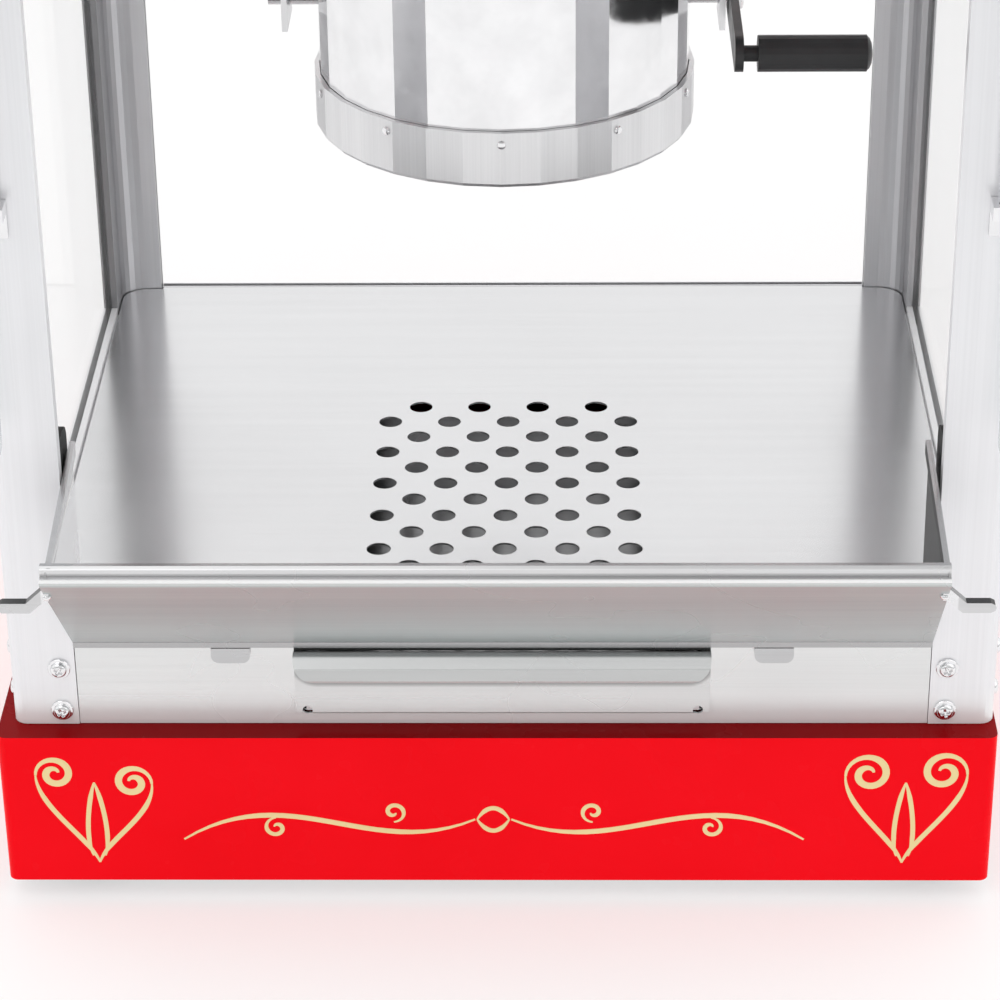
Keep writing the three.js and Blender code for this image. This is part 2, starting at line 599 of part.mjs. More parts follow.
// ---------- hood ----------
function crownedBox(inset) {
  const shape = roundedRect(-HOOD_HALF_WIDTH + inset, HOOD_HALF_WIDTH - inset, HOOD_FRONT + inset,
    HOOD_BACK - inset, HOOD_CORNER - inset);
  const shoulder = HOOD_SHOULDER - inset;
  const geometry = new THREE.ExtrudeGeometry(shape, {
    depth: HOOD_TOP - HOOD_CROWN - HOOD_BOTTOM,
    bevelEnabled: true,
    bevelThickness: HOOD_CROWN - inset,
    bevelSize: shoulder,
    bevelOffset: -shoulder,
    bevelSegments: 4,
    curveSegments: 4,
  });
  return geometry.translate(0, 0, HOOD_BOTTOM);
}
{
  const below = box(-300, 300, -100, 500, HOOD_BOTTOM - 100, HOOD_BOTTOM);
  const window = box(-72, 72, HOOD_FRONT - 5, HOOD_FRONT + 5, SWITCH_Z - 22, SWITCH_Z + 22);
  const inletHole = box(INLET_X - 18, INLET_X + 18, HOOD_BACK - 5, HOOD_BACK + 5, INLET_Z - 13, INLET_Z + 13);
  place('hood_shell', cut(crownedBox(0), crownedBox(HOOD_WALL), below, window, inletHole), 'redPaint');

  const capBottom = HOOD_TOP + GAP;
  const capSolid = alongZ(roundedRect(-185, 185, 45, 370, 12), capBottom, capBottom + 16, 4);
  const capHollow = alongZ(roundedRect(-183.5, 183.5, 46.5, 368.5, 10.5), capBottom - 1, capBottom + 14.5, 4);
  place('hood_cap', cut(capSolid, capHollow), 'redPaint');

  const inset = HOOD_WALL + 0.9;
  const sheet = roundedRect(-HOOD_HALF_WIDTH + inset, HOOD_HALF_WIDTH - inset, HOOD_FRONT + inset,
    HOOD_BACK - inset, HOOD_CORNER - 2);
  const shaftHole = rod(8, [0, KETTLE_Y, CEILING - 5], [0, KETTLE_Y, CEILING + 5], 20);
  place('ceiling_panel', cut(alongZ(sheet, CEILING, CEILING + SHEET, 5), shaftHole), 'brushedSteel');
}

// ---------- switch panel and its three rockers ----------
{
  const back = HOOD_FRONT - GAP;
  const plate = alongY(roundedRect(-80, 80, SWITCH_Z - 32, SWITCH_Z + 32, 5), back - 1.5, back, 4);
  const bezels = Object.values(SWITCH_X).map(
    (x) => box(x - 10.5, x + 10.5, back - 3, back - 1, SWITCH_Z - 16, SWITCH_Z + 16));
  const windows = Object.values(SWITCH_X).map(
    (x) => box(x - 8, x + 8, HOOD_FRONT - 10, HOOD_FRONT + 5, SWITCH_Z - 13.5, SWITCH_Z + 13.5));
  place('switch_panel', cut(join(plate, ...bezels), ...windows), 'brushedSteel');

  const rocker = outline([[-8.8, -12], [-6.6, 0], [-8.8, 12], [4, 9], [4, -9]]);
  for (const [name, x] of Object.entries(SWITCH_X)) {
    const mesh = place(name, alongX(rocker, -7.4, 7.4), 'blackPlastic');
    mesh.position.set(x, ROCKER_PIVOT_Y, SWITCH_Z);
    mesh.rotation.x = THREE.MathUtils.degToRad(-ROCKER_THROW / 2);
  }
}

// ---------- mains inlet on the hood's back ----------
{
  const around = (halfX, halfZ, y0, y1) => box(
    INLET_X - halfX, INLET_X + halfX, y0, y1, INLET_Z - halfZ, INLET_Z + halfZ);
  const rim = roundedRect(INLET_X - 23, INLET_X + 23, INLET_Z - 18, INLET_Z + 18, 5);
  const flange = alongY(rim, HOOD_BACK + GAP, HOOD_BACK + 2.8, 3);
  const socket = around(16, 11, HOOD_BACK - 24, HOOD_BACK + 1);
  const recess = around(13, 8, HOOD_BACK - 17, HOOD_BACK + 5);
  const blades = [[-7, -2], [7, -2], [0, 3]].map(([dx, dz]) => box(
    INLET_X + dx - 1, INLET_X + dx + 1, HOOD_BACK - 18, HOOD_BACK - 4, INLET_Z + dz - 2, INLET_Z + dz + 2));
  place('mains_inlet', join(cut(join(flange, socket), recess), ...blades), 'blackPlastic');
}

// ---------- cabin lamp ----------
{
  const top = CEILING - GAP;
  const neck = top - 24;
  const holder = [[0, neck], [15, neck], [17, top - 20], [17, top - 4], [22, top], [0, top]];
  place('lamp_holder', turned(holder, LAMP_X, LAMP_Y, 20), 'blackPlastic');
  const bulbTop = neck - GAP;
  const bulb = [[0, -58], [12, -55], [20, -46], [22, -36], [19, -24], [13, -10], [12, 0], [0, 0]].map(
    ([radius, drop]) => [radius, bulbTop + drop]);
  place('lamp_bulb', turned(bulb, LAMP_X, LAMP_Y, 20), 'lampGlass');
}

// ---------- stirring drive in the hood ----------
function gearOutline(teeth) {
  const pitchRadius = GEAR_MODULE * teeth / 2;
  const root = pitchRadius - 1.3 * GEAR_MODULE;
  const tip = pitchRadius + 0.85 * GEAR_MODULE;
  const step = 2 * Math.PI / teeth;
  const flanks = [[root, -0.32], [tip, -0.1], [tip, 0.1], [root, 0.32]];
  return outline(Array.from({ length: teeth }, (_, tooth) => flanks.map(([radius, share]) => {
    const angle = (tooth + share) * step;
    return [radius * Math.cos(angle), radius * Math.sin(angle)];
  })).flat());
}
{
  const shaftTop = 482;
  const gear = alongZ(gearOutline(GEAR_TEETH), GEAR_Z, GEAR_Z + GEAR_THICK).translate(0, KETTLE_Y, 0);
  const shaft = rod(4, [0, KETTLE_Y, COUPLING_TOP + 1], [0, KETTLE_Y, shaftTop], 20);
  const tang = box(-1.4, 1.4, KETTLE_Y - 3.6, KETTLE_Y + 3.6, COUPLING_SLOT + 0.6, COUPLING_TOP + 4);
  place('drive_shaft', join(gear, shaft, tang), 'motorGrey');

  const pinion = alongZ(gearOutline(PINION_TEETH), GEAR_Z, GEAR_Z + GEAR_THICK);
  const pinionShaft = rod(3, [0, 0, GEAR_Z - 2], [0, 0, shaftTop - 4], 12);
  const meshed = join(pinion, pinionShaft).rotateZ(Math.PI + Math.PI / PINION_TEETH);
  place('motor_pinion', meshed.translate(GEAR_CENTRES, KETTLE_Y, 0), 'brass');

  const plateZ = MOTOR_PLATE_Z;
  const plate = alongZ(roundedRect(-42, 80, KETTLE_Y - 42, KETTLE_Y + 42, 6), plateZ, plateZ + 4, 3);
  const stilts = [[-36, -36], [74, -36], [-36, 36], [74, 36]].map(([x, y]) => rod(
    4, [x, KETTLE_Y + y, CEILING + SHEET + GAP], [x, KETTLE_Y + y, plateZ + 1], 12));
  const canX = GEAR_CENTRES + 4;
  const can = turned([[0, 483], [33, 483], [35, 485], [35, 540], [30, 544], [0, 544]], canX, KETTLE_Y, 20);
  const neck = rod(16, [canX, KETTLE_Y, plateZ + 3], [canX, KETTLE_Y, 484], 20);
  const shaftBore = rod(4.3, [0, KETTLE_Y, plateZ - 1], [0, KETTLE_Y, 484], 20);
  const pinionBore = rod(3.3, [GEAR_CENTRES, KETTLE_Y, plateZ - 1], [GEAR_CENTRES, KETTLE_Y, 479], 16);
  place('gear_motor', cut(join(plate, ...stilts, can, neck), shaftBore, pinionBore), 'motorGrey');
}

// ---------- kettle hanger ----------
{
  const top = CEILING - 2 * GAP;
  const foot = TRUNNION_Z - 14;
  const fold = [[HANGER_OUT, foot], [HANGER_OUT, top], [-HANGER_OUT, top], [-HANGER_OUT, foot]];
  const yoke = alongY(foldedSheet(fold, HANGER_OUT - HANGER_IN), KETTLE_Y - 16, KETTLE_Y + 16);
  const bearing = rod(TRUNNION_RADIUS + 0.4, [-130, KETTLE_Y, TRUNNION_Z], [130, KETTLE_Y, TRUNNION_Z], 20);
  const shaftHole = rod(10, [0, KETTLE_Y, top - 10], [0, KETTLE_Y, top + 5], 20);
  place('kettle_hanger', cut(yoke, bearing, shaftHole), 'brushedSteel');
}

// ---------- kettle: pot, heater case and tipping handle ----------
{
  const inside = POT_RADIUS - POT_WALL;
  const bead = POT_RADIUS + 3;
  const profile = [[0, POT_BOTTOM], [POT_RADIUS - 7, POT_BOTTOM], [POT_RADIUS - 2, POT_BOTTOM + 2],
    [POT_RADIUS, POT_BOTTOM + 7], [POT_RADIUS, POT_RIM - 4], [bead, POT_RIM - 2], [bead, POT_RIM],
    [inside, POT_RIM], [inside, POT_BOTTOM + 8], [POT_RADIUS - 8, POT_BOTTOM + POT_WALL],
    [0, POT_BOTTOM + POT_WALL]];
  const bowl = turned(profile, 0, KETTLE_Y, 32);
  const pins = [-1, 1].map((sign) => rod(
    TRUNNION_RADIUS, [sign * (POT_RADIUS - 1), KETTLE_Y, TRUNNION_Z], [sign * 120, KETTLE_Y,
      TRUNNION_Z], 20));
  const bar = box(-POT_RADIUS, POT_RADIUS, KETTLE_Y - 9, KETTLE_Y + 9, POT_RIM - 3, POT_RIM);
  const spindleHole = rod(SPINDLE_RADIUS + 0.4, [0, KETTLE_Y, POT_RIM - 8], [0, KETTLE_Y, POT_RIM + 5], 16);
  place('kettle_pot', cut(join(bowl, ...pins, bar), spindleHole), 'polishedSteel');

  const caseIn = POT_RADIUS + GAP;
  const caseOut = caseIn + 2.5;
  const caseTop = 264;
  const shellProfile = [[0, CASE_BOTTOM], [caseIn + 1, CASE_BOTTOM], [caseOut, CASE_BOTTOM + 2],
    [caseOut, caseTop], [caseIn, caseTop], [caseIn, CASE_BOTTOM + 2], [0, CASE_BOTTOM + 2]];
  const shell = turned(shellProfile, 0, KETTLE_Y, 32);
  const terminalBox = box(-24, 24, KETTLE_Y + caseIn, KETTLE_Y + 118, CASE_BOTTOM + 2, caseTop - 2);
  const trim = rod(caseIn + 0.6, [0, KETTLE_Y, CASE_BOTTOM + 2], [0, KETTLE_Y, caseTop + 6], 40);
  place('kettle_heater_case', join(cut(terminalBox, trim), shell), 'brushedSteel');

  const gripY = KETTLE_Y - 84;
  const armShape = roundedRect(gripY - 8, KETTLE_Y + 12, TRUNNION_Z - 9, TRUNNION_Z + 9, 8);
  const arm = alongX(armShape, 113.8, 118, 4);
  const neck = rod(4, [117, gripY, TRUNNION_Z], [126, gripY, TRUNNION_Z], 16);
  const grip = rod(9, [125, gripY, TRUNNION_Z], [178, gripY, TRUNNION_Z], 20);
  const pinHole = rod(TRUNNION_RADIUS + GAP, [110, KETTLE_Y, TRUNNION_Z], [125, KETTLE_Y, TRUNNION_Z], 20);
  place('kettle_handle', cut(join(arm, neck, grip), pinHole), 'blackPlastic');
}

// ---------- kettle lids: half-moons hinged along the crossbar ----------
for (const [name, turn] of [['kettle_front_lid', Math.PI], ['kettle_rear_lid', 0]]) {
  const bottom = POT_RIM + 0.5;
  const radius = POT_RADIUS + 2;
  const hingeY = 11;
  const start = Math.asin(hingeY / radius);
  const half = new THREE.Shape();
  half.absarc(0, 0, radius, start, Math.PI - start, false);
  const plate = alongZ(half, bottom, bottom + 1.6, 20);
  const barrel = rod(1.9, [-60, hingeY, bottom + 2.2], [60, hingeY, bottom + 2.2], 12);
  const grip = box(-12, 12, radius - 16, radius - 13, bottom + 1, bottom + 12);
  place(name, join(plate, barrel, grip).rotateZ(turn).translate(0, KETTLE_Y, 0), 'polishedSteel');
}

// ---------- stirrer: its spindle rises to a slotted head under the drive shaft ----------
{
  const low = POT_BOTTOM + 4;
  const profile = [[0, low], [8, low], [8, low + 8], [SPINDLE_RADIUS, low + 8], [SPINDLE_RADIUS,
    POT_RIM + 1.5],
    [6, POT_RIM + 1.5], [6, POT_RIM + 6], [SPINDLE_RADIUS, POT_RIM + 6], [SPINDLE_RADIUS, COUPLING_TOP - 14],
    [6.4, COUPLING_TOP - 11], [6.4, COUPLING_TOP], [0, COUPLING_TOP]];
  const spindle = turned(profile, 0, KETTLE_Y, 16);
  const sweep = box(-78, 78, KETTLE_Y - 2, KETTLE_Y + 2, low, low + 4);
  const slot = box(-1.8, 1.8, KETTLE_Y - 10, KETTLE_Y + 10, COUPLING_SLOT, COUPLING_TOP + 5);
  place('stirrer', cut(join(spindle, sweep), slot), 'polishedSteel');
}

// The origin goes under the middle of the whole machine, doors open, where its feet stand.
const extent = new THREE.Box3().setFromObject(machine, true);
machine.position.set(0, -(extent.min.y + extent.max.y) / 2, BASE_HEIGHT + FOOT_HEIGHT);

export default machine;
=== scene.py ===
"""Looks for a countertop popcorn machine, seen from its operator side.

Places are given in the machine's own drawing frame, in millimetres: X = 0 on the centre line,
Y = 0 on the front face of the front posts, Z = 0 on the top of the base. at() turns such a place
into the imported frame, in metres, and drawn_box() reads a CAD part's box back in the drawing frame.
"""
import json
import math
import random

import bmesh
import bpy
from mathutils import Matrix, Vector


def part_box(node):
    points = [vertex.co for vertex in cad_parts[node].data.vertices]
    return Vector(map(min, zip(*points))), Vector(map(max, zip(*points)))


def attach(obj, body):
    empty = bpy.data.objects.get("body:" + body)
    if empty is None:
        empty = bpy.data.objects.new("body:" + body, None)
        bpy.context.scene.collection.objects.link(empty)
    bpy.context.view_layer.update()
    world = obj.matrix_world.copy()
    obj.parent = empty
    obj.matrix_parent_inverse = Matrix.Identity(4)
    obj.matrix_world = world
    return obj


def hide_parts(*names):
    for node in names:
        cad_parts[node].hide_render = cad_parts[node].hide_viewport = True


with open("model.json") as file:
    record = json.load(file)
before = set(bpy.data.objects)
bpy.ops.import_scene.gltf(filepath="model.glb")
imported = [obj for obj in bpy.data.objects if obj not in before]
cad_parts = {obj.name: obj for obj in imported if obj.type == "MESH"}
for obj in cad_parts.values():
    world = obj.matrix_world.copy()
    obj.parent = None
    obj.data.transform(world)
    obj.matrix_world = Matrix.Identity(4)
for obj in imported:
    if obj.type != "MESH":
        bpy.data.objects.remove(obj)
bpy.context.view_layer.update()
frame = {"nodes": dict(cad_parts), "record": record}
nodes = frame["nodes"]

MM = 0.001
FRONT_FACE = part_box("front_left_post")[0].y
BASE_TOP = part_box("base_shell")[1].z


def at(x, y, z):
    return Vector((x * MM, FRONT_FACE + y * MM, BASE_TOP + z * MM))


def drawn_box(name):
    """A CAD part's lowest and highest corner in the drawing frame."""
    origin = Vector((0, FRONT_FACE, BASE_TOP))
    return [(corner - origin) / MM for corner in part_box(name)]


base_low, base_high = drawn_box("base_shell")
hood_low, hood_high = drawn_box("hood_shell")
deck_low, deck_high = drawn_box("popcorn_deck")
front_post_high = drawn_box("front_right_post")[1]
rear_post_high = drawn_box("rear_right_post")[1]
drawer_half = drawn_box("drawer_front")[1].x
SIDES = (("left", -1), ("right", 1))


# ---------------------------------------------------------------- camera
CAMERA_AT = at(29.0, -1406.8, 901.7)
CAMERA_PITCH = math.radians(-28.85)
CAMERA_YAW = math.radians(1.0)
CAMERA_ROLL = math.radians(0.08)
LENS = 121.18


def make_camera():
    data = bpy.data.cameras.new("camera")
    data.lens = LENS
    data.sensor_width = 36
    data.clip_end = 100
    camera = bpy.data.objects.new("camera", data)
    bpy.context.scene.collection.objects.link(camera)
    look_forward = Matrix.Rotation(math.radians(90), 4, "X")
    turn = (Matrix.Rotation(CAMERA_ROLL, 4, "Y") @ Matrix.Rotation(CAMERA_PITCH, 4, "X")
            @ Matrix.Rotation(CAMERA_YAW, 4, "Z"))
    camera.matrix_world = Matrix.Translation(CAMERA_AT) @ turn @ look_forward
    bpy.context.scene.camera = camera


make_camera()
bpy.context.scene.view_settings.view_transform = "Standard"


# ---------------------------------------------------------------- material helpers
def new_material(name):
    material = bpy.data.materials.new(name)
    material.use_nodes = True
    tree = material.node_tree
    shader = tree.nodes["Principled BSDF"]
    return material, tree, shader


def add(tree, kind, **values):
    node = tree.nodes.new(kind)
    for key, value in values.items():
        setattr(node, key, value)
    return node


def object_place(tree, scale=(1, 1, 1)):
    """The place on the object, stretched along each axis: a grain runs along the small scale."""
    where = add(tree, "ShaderNodeTexCoord")
    mapping = add(tree, "ShaderNodeMapping")
    mapping.inputs["Scale"].default_value = scale
    tree.links.new(where.outputs["Object"], mapping.inputs["Vector"])
    return mapping.outputs["Vector"]


def noise(tree, vector, scale, detail=4.0, roughness=0.55):
    node = add(tree, "ShaderNodeTexNoise")
    node.inputs["Scale"].default_value = scale
    node.inputs["Detail"].default_value = detail
    node.inputs["Roughness"].default_value = roughness
    tree.links.new(vector, node.inputs["Vector"])
    return node.outputs["Fac"]


def ranged(tree, value, low, high, from_low=0.3, from_high=0.7):
    node = add(tree, "ShaderNodeMapRange")
    node.inputs["From Min"].default_value = from_low
    node.inputs["From Max"].default_value = from_high
    node.inputs["To Min"].default_value = low
    node.inputs["To Max"].default_value = high
    tree.links.new(value, node.inputs["Value"])
    return node.outputs["Result"]


def tinted(tree, value, dark, light):
    node = add(tree, "ShaderNodeValToRGB")
    node.color_ramp.elements[0].position = 0.3
    node.color_ramp.elements[0].color = (*dark, 1)
    node.color_ramp.elements[1].position = 0.7
    node.color_ramp.elements[1].color = (*light, 1)
    tree.links.new(value, node.inputs["Fac"])
    return node.outputs["Color"]


def bumped(tree, height, strength, distance):
    node = add(tree, "ShaderNodeBump")
    node.inputs["Strength"].default_value = strength
    node.inputs["Distance"].default_value = distance
    tree.links.new(height, node.inputs["Height"])
    return node.outputs["Normal"]


def across_grain(tree, grain):
    """The direction in the surface square to the brushing, which highlights spread along."""
    geometry = add(tree, "ShaderNodeNewGeometry")
    cross = add(tree, "ShaderNodeVectorMath", operation="CROSS_PRODUCT")
    tree.links.new(geometry.outputs["Normal"], cross.inputs[0])
    cross.inputs[1].default_value = grain
    lean = add(tree, "ShaderNodeVectorMath", operation="ADD")
    tree.links.new(cross.outputs["Vector"], lean.inputs[0])
    lean.inputs[1].default_value = (0.02, 0.03, 0.04)   # settles faces square to the grain
    return lean.outputs["Vector"]


def math_node(tree, operation, first, second):
    """A Math node; each operand is a socket or a number."""
    node = add(tree, "ShaderNodeMath", operation=operation)
    for operand, socket in zip((first, second), node.inputs):
        if isinstance(operand, (int, float)):
            socket.default_value = operand
        else:
            tree.links.new(operand, socket)
    return node.outputs[0]


def facing(tree, direction, start=0.55, full=0.85):
    """1 on surfaces that face the given way, 0 on the rest."""
    geometry = add(tree, "ShaderNodeNewGeometry")
    along = add(tree, "ShaderNodeVectorMath", operation="DOT_PRODUCT")
    tree.links.new(geometry.outputs["Normal"], along.inputs[0])
    along.inputs[1].default_value = direction
    return ranged(tree, along.outputs["Value"], 0.0, 1.0, start, full)


def drawn(tree, axis):
    """One coordinate on the object, in the drawing frame."""
    where = add(tree, "ShaderNodeTexCoord")
    split = add(tree, "ShaderNodeSeparateXYZ")
    tree.links.new(where.outputs["Object"], split.inputs["Vector"])
    origin = {"X": 0.0, "Y": FRONT_FACE, "Z": BASE_TOP}[axis]
    return math_node(tree, "DIVIDE", math_node(tree, "SUBTRACT", split.outputs[axis], origin), MM)


def above(tree, value, limit, blur=0.3):
    """1 over a limit and 0 under it, with a blurred edge."""
    return ranged(tree, value, 0.0, 1.0, limit - blur, limit + blur)


def below(tree, value, limit, blur=0.3):
    """1 under a limit and 0 over it, with a blurred edge."""
    return ranged(tree, value, 1.0, 0.0, limit - blur, limit + blur)


def both(tree, first, second):
    return math_node(tree, "MULTIPLY", first, second)


def shade_where(material, mask, tone, blend_type="MULTIPLY"):
    """Multiplies the base colour by a tone, or mixes the tone in, where the mask is 1."""
    tree = material.node_tree
    base = tree.nodes["Principled BSDF"].inputs["Base Color"]
    blend = add(tree, "ShaderNodeMix", data_type="RGBA", blend_type=blend_type)
    source = base.links[0].from_socket
    tree.links.new(mask, blend.inputs[0])
    tree.links.new(source, blend.inputs[6])
    colour = tone if isinstance(tone, tuple) else (tone, tone, tone)
    blend.inputs[7].default_value = (*colour, 1)
    tree.links.new(blend.outputs[2], base)


def change_where(material, name, mask, value):
    """Leads one of the shader's numbers to a value where the mask is 1."""
    tree = material.node_tree
    socket = tree.nodes["Principled BSDF"].inputs[name]
    blend = add(tree, "ShaderNodeMix", data_type="FLOAT")
    tree.links.new(mask, blend.inputs[0])
    if socket.is_linked:
        tree.links.new(socket.links[0].from_socket, blend.inputs[2])
    else:
        blend.inputs[2].default_value = socket.default_value
    blend.inputs[3].default_value = value
    tree.links.new(blend.outputs[0], socket)


def shade_bands(material, value, low, high, stops):
    """Multiplies the base colour by tones that change along a coordinate; stops are (place, tone)."""
    tree = material.node_tree
    ramp = add(tree, "ShaderNodeValToRGB")
    elements = ramp.color_ramp.elements
    while len(elements) < len(stops):
        elements.new(0.5)
    for element, (place, tone) in zip(elements, sorted(stops)):
        element.position = (place - low) / (high - low)
        element.color = (tone, tone, tone, 1)
    tree.links.new(ranged(tree, value, 0.0, 1.0, low, high), ramp.inputs["Fac"])
    base = tree.nodes["Principled BSDF"].inputs["Base Color"]
    blend = add(tree, "ShaderNodeMix", data_type="RGBA", blend_type="MULTIPLY")
    blend.inputs[0].default_value = 1.0
    tree.links.new(base.links[0].from_socket, blend.inputs[6])
    tree.links.new(ramp.outputs["Color"], blend.inputs[7])
    tree.links.new(blend.outputs[2], base)


# ---------------------------------------------------------------- materials
def brushed_metal(name, grain_axis, dark, light, roughness, anisotropy, grain=0.5):
    """Sheet metal with brush lines along one axis, faint cloudy wear and uneven gloss."""
    material, tree, shader = new_material(name)
    along = [4.0, 4.0, 4.0]
    lines = [900.0, 900.0, 900.0]
    index = "XYZ".index(grain_axis)
    lines[index] = 9.0
    streaks = noise(tree, object_place(tree, lines), 1.0, 3.0, 0.6)
    broad_lines = [120.0, 120.0, 120.0]
    broad_lines[index] = 2.0
    bands = noise(tree, object_place(tree, broad_lines), 1.0, 2.0, 0.5)
    clouds = noise(tree, object_place(tree, along), 1.6, 3.0, 0.5)
    blend = add(tree, "ShaderNodeMath", operation="MULTIPLY_ADD")
    tree.links.new(streaks, blend.inputs[0])
    blend.inputs[1].default_value = 0.5
    tree.links.new(ranged(tree, bands, 0.0, 0.5, 0.0, 1.0), blend.inputs[2])
    tree.links.new(tinted(tree, blend.outputs[0], dark, light), shader.inputs["Base Color"])
    tree.links.new(ranged(tree, clouds, roughness - 0.03, roughness + 0.04), shader.inputs["Roughness"])
    shader.inputs["Metallic"].default_value = 1.0
    shader.inputs["Anisotropic"].default_value = anisotropy
    axis = [0.0, 0.0, 0.0]
    axis[index] = 1.0
    tree.links.new(across_grain(tree, axis), shader.inputs["Tangent"])
    tree.links.new(bumped(tree, streaks, grain, 0.00004), shader.inputs["Normal"])
    return material


def satin_aluminium(name, light):
    """Fine upright die lines on a pale satin extrusion."""
    material, tree, shader = new_material(name)
    die_lines = noise(tree, object_place(tree, (700.0, 700.0, 3.0)), 1.0, 3.0, 0.6)
    haze = noise(tree, object_place(tree), 14.0, 4.0, 0.55)
    dark = tuple(channel * 0.95 for channel in light)
    tree.links.new(tinted(tree, die_lines, dark, light), shader.inputs["Base Color"])
    tree.links.new(ranged(tree, haze, 0.34, 0.42), shader.inputs["Roughness"])
    shader.inputs["Metallic"].default_value = 0.85
    tree.links.new(bumped(tree, die_lines, 0.25, 0.00003), shader.inputs["Normal"])
    return material


def gloss_paint(name, dark, light):
    """Stoved enamel: deep colour, faint orange peel and slightly uneven gloss."""
    material, tree, shader = new_material(name)
    place = object_place(tree)
    pigment = noise(tree, place, 9.0, 3.0)
    haze = noise(tree, place, 35.0, 3.0)
    orange_peel = noise(tree, place, 420.0, 2.0)
    tree.links.new(tinted(tree, pigment, dark, light), shader.inputs["Base Color"])
    tree.links.new(ranged(tree, haze, 0.2, 0.3), shader.inputs["Roughness"])
    shader.inputs["Specular IOR Level"].default_value = 0.14
    tree.links.new(bumped(tree, orange_peel, 0.12, 0.0002), shader.inputs["Normal"])
    return material


def polished_metal(name, dark, light, roughness):
    """Bright metal with faint tarnish, smears and polishing marks."""
    material, tree, shader = new_material(name)
    place = object_place(tree)
    tarnish = noise(tree, place, 40.0, 4.0)
    smears = noise(tree, place, 120.0, 5.0)
    marks = noise(tree, place, 700.0, 3.0)
    tree.links.new(tinted(tree, tarnish, dark, light), shader.inputs["Base Color"])
    tree.links.new(ranged(tree, smears, roughness, roughness + 0.09), shader.inputs["Roughness"])
    shader.inputs["Metallic"].default_value = 1.0
    tree.links.new(bumped(tree, marks, 0.06, 0.0001), shader.inputs["Normal"])
    return material


def moulded(name, dark, light, roughness, grain_scale, grain_depth):
    """A moulded or cast surface with a fine grain."""
    material, tree, shader = new_material(name)
    place = object_place(tree)
    shade = noise(tree, place, 30.0, 4.0)
    wear = noise(tree, place, 90.0, 3.0)
    grain = noise(tree, place, grain_scale, 4.0)
    tree.links.new(tinted(tree, shade, dark, light), shader.inputs["Base Color"])
    tree.links.new(ranged(tree, wear, roughness - 0.06, roughness + 0.06), shader.inputs["Roughness"])
    tree.links.new(bumped(tree, grain, grain_depth, 0.0003), shader.inputs["Normal"])
    return material


def clear_sheet(name, dark, light, face_on, slanted):
    """Clear acrylic: its alpha rises from face on to where it is seen at a slant."""
    material, tree, shader = new_material(name)
    place = object_place(tree)
    tint = noise(tree, place, 5.0, 3.0)
    wipe_marks = noise(tree, place, 16.0, 4.0)
    tree.links.new(tinted(tree, tint, dark, light), shader.inputs["Base Color"])
    tree.links.new(ranged(tree, wipe_marks, 0.02, 0.07), shader.inputs["Roughness"])
    slant = add(tree, "ShaderNodeLayerWeight")
    slant.inputs["Blend"].default_value = 0.25
    alpha = ranged(tree, slant.outputs["Facing"], face_on, slanted, 0.2, 1.0)
    tree.links.new(alpha, shader.inputs["Alpha"])
    shader.inputs["IOR"].default_value = 1.49
    return material


def frosted_glass(name, dark, light):
    """The lamp's warm, slightly see-through envelope."""
    material, tree, shader = new_material(name)
    place = object_place(tree)
    frost = noise(tree, place, 25.0, 3.0)
    haze = noise(tree, place, 60.0, 3.0)
    tree.links.new(tinted(tree, frost, dark, light), shader.inputs["Base Color"])
    tree.links.new(ranged(tree, haze, 0.25, 0.4), shader.inputs["Roughness"])
    shader.inputs["Alpha"].default_value = 0.85
    shader.inputs["Coat Weight"].default_value = 0.5
    return material


BRUSHED_X = brushed_metal("brushed_steel_along_x", "X", (0.72, 0.72, 0.73), (0.8, 0.8, 0.81), 0.27, 0.75)
BRUSHED_Z = brushed_metal("brushed_steel_upright", "Z", (0.68, 0.68, 0.69), (0.78, 0.78, 0.79), 0.3, 0.6)
SATIN = satin_aluminium("satin_aluminium", (0.86, 0.86, 0.88))


# painted light on the lowest part fades out round this height
FOOT_HEIGHT = 12
FOOT_BLUR = 9


def paint_foot_light(material, tone):
    """Paints the lowest part pale and dull, as painted light, so that it doesn't mirror the dark ledge
    before it.
    """
    foot = below(material.node_tree, drawn(material.node_tree, "Z"), FOOT_HEIGHT, FOOT_BLUR)
    shade_where(material, foot, tone, "MIX")
    change_where(material, "Metallic", foot, 0.1)


def paint_dark_side(material, direction):
    """Paints shade on one side, dark and dull: a painted reflection of the dark of a room, as steel shows
    where it mirrors it.
    """
    side = facing(material.node_tree, direction)
    shade_where(material, side, 0.2)
    change_where(material, "Metallic", side, 0.0)
    change_where(material, "Roughness", side, 0.8)


FRONTWARD = (0, -1, 0)
UPWARD = (0, 0, 1)
LEFTWARD = (-1, 0, 0)
TROUGH_SLOPE = (0, -0.74, -0.67)        # the way that the underside of the sloping front faces
SLOPE_FADE = (60, 96)                   # heights between which the painted shade on the slope grows darker
TROUGH_TONES = [                        # painted shade along the height, as (height, tone), with both ends of each flat stretch
    (44.0, 0.58), (48.4, 0.58), (48.9, 1.0),                        # lower flange
    (122.3, 1.0), (122.6, 0.66), (124.3, 0.66), (124.8, 0.9),       # groove over the bead
    (126.6, 0.88), (127.1, 0.68), (129.8, 0.68)]                    # edge of the rim
# the bead's band, which carries a painted highlight
BEAD_LOW = 120.1
BEAD_HIGH = 122.45
# painted shade on upward faces below this height, the ears' tops among them
EAR_TOP = 116
EAR_INNER = 213                         # the ears lie further out than this


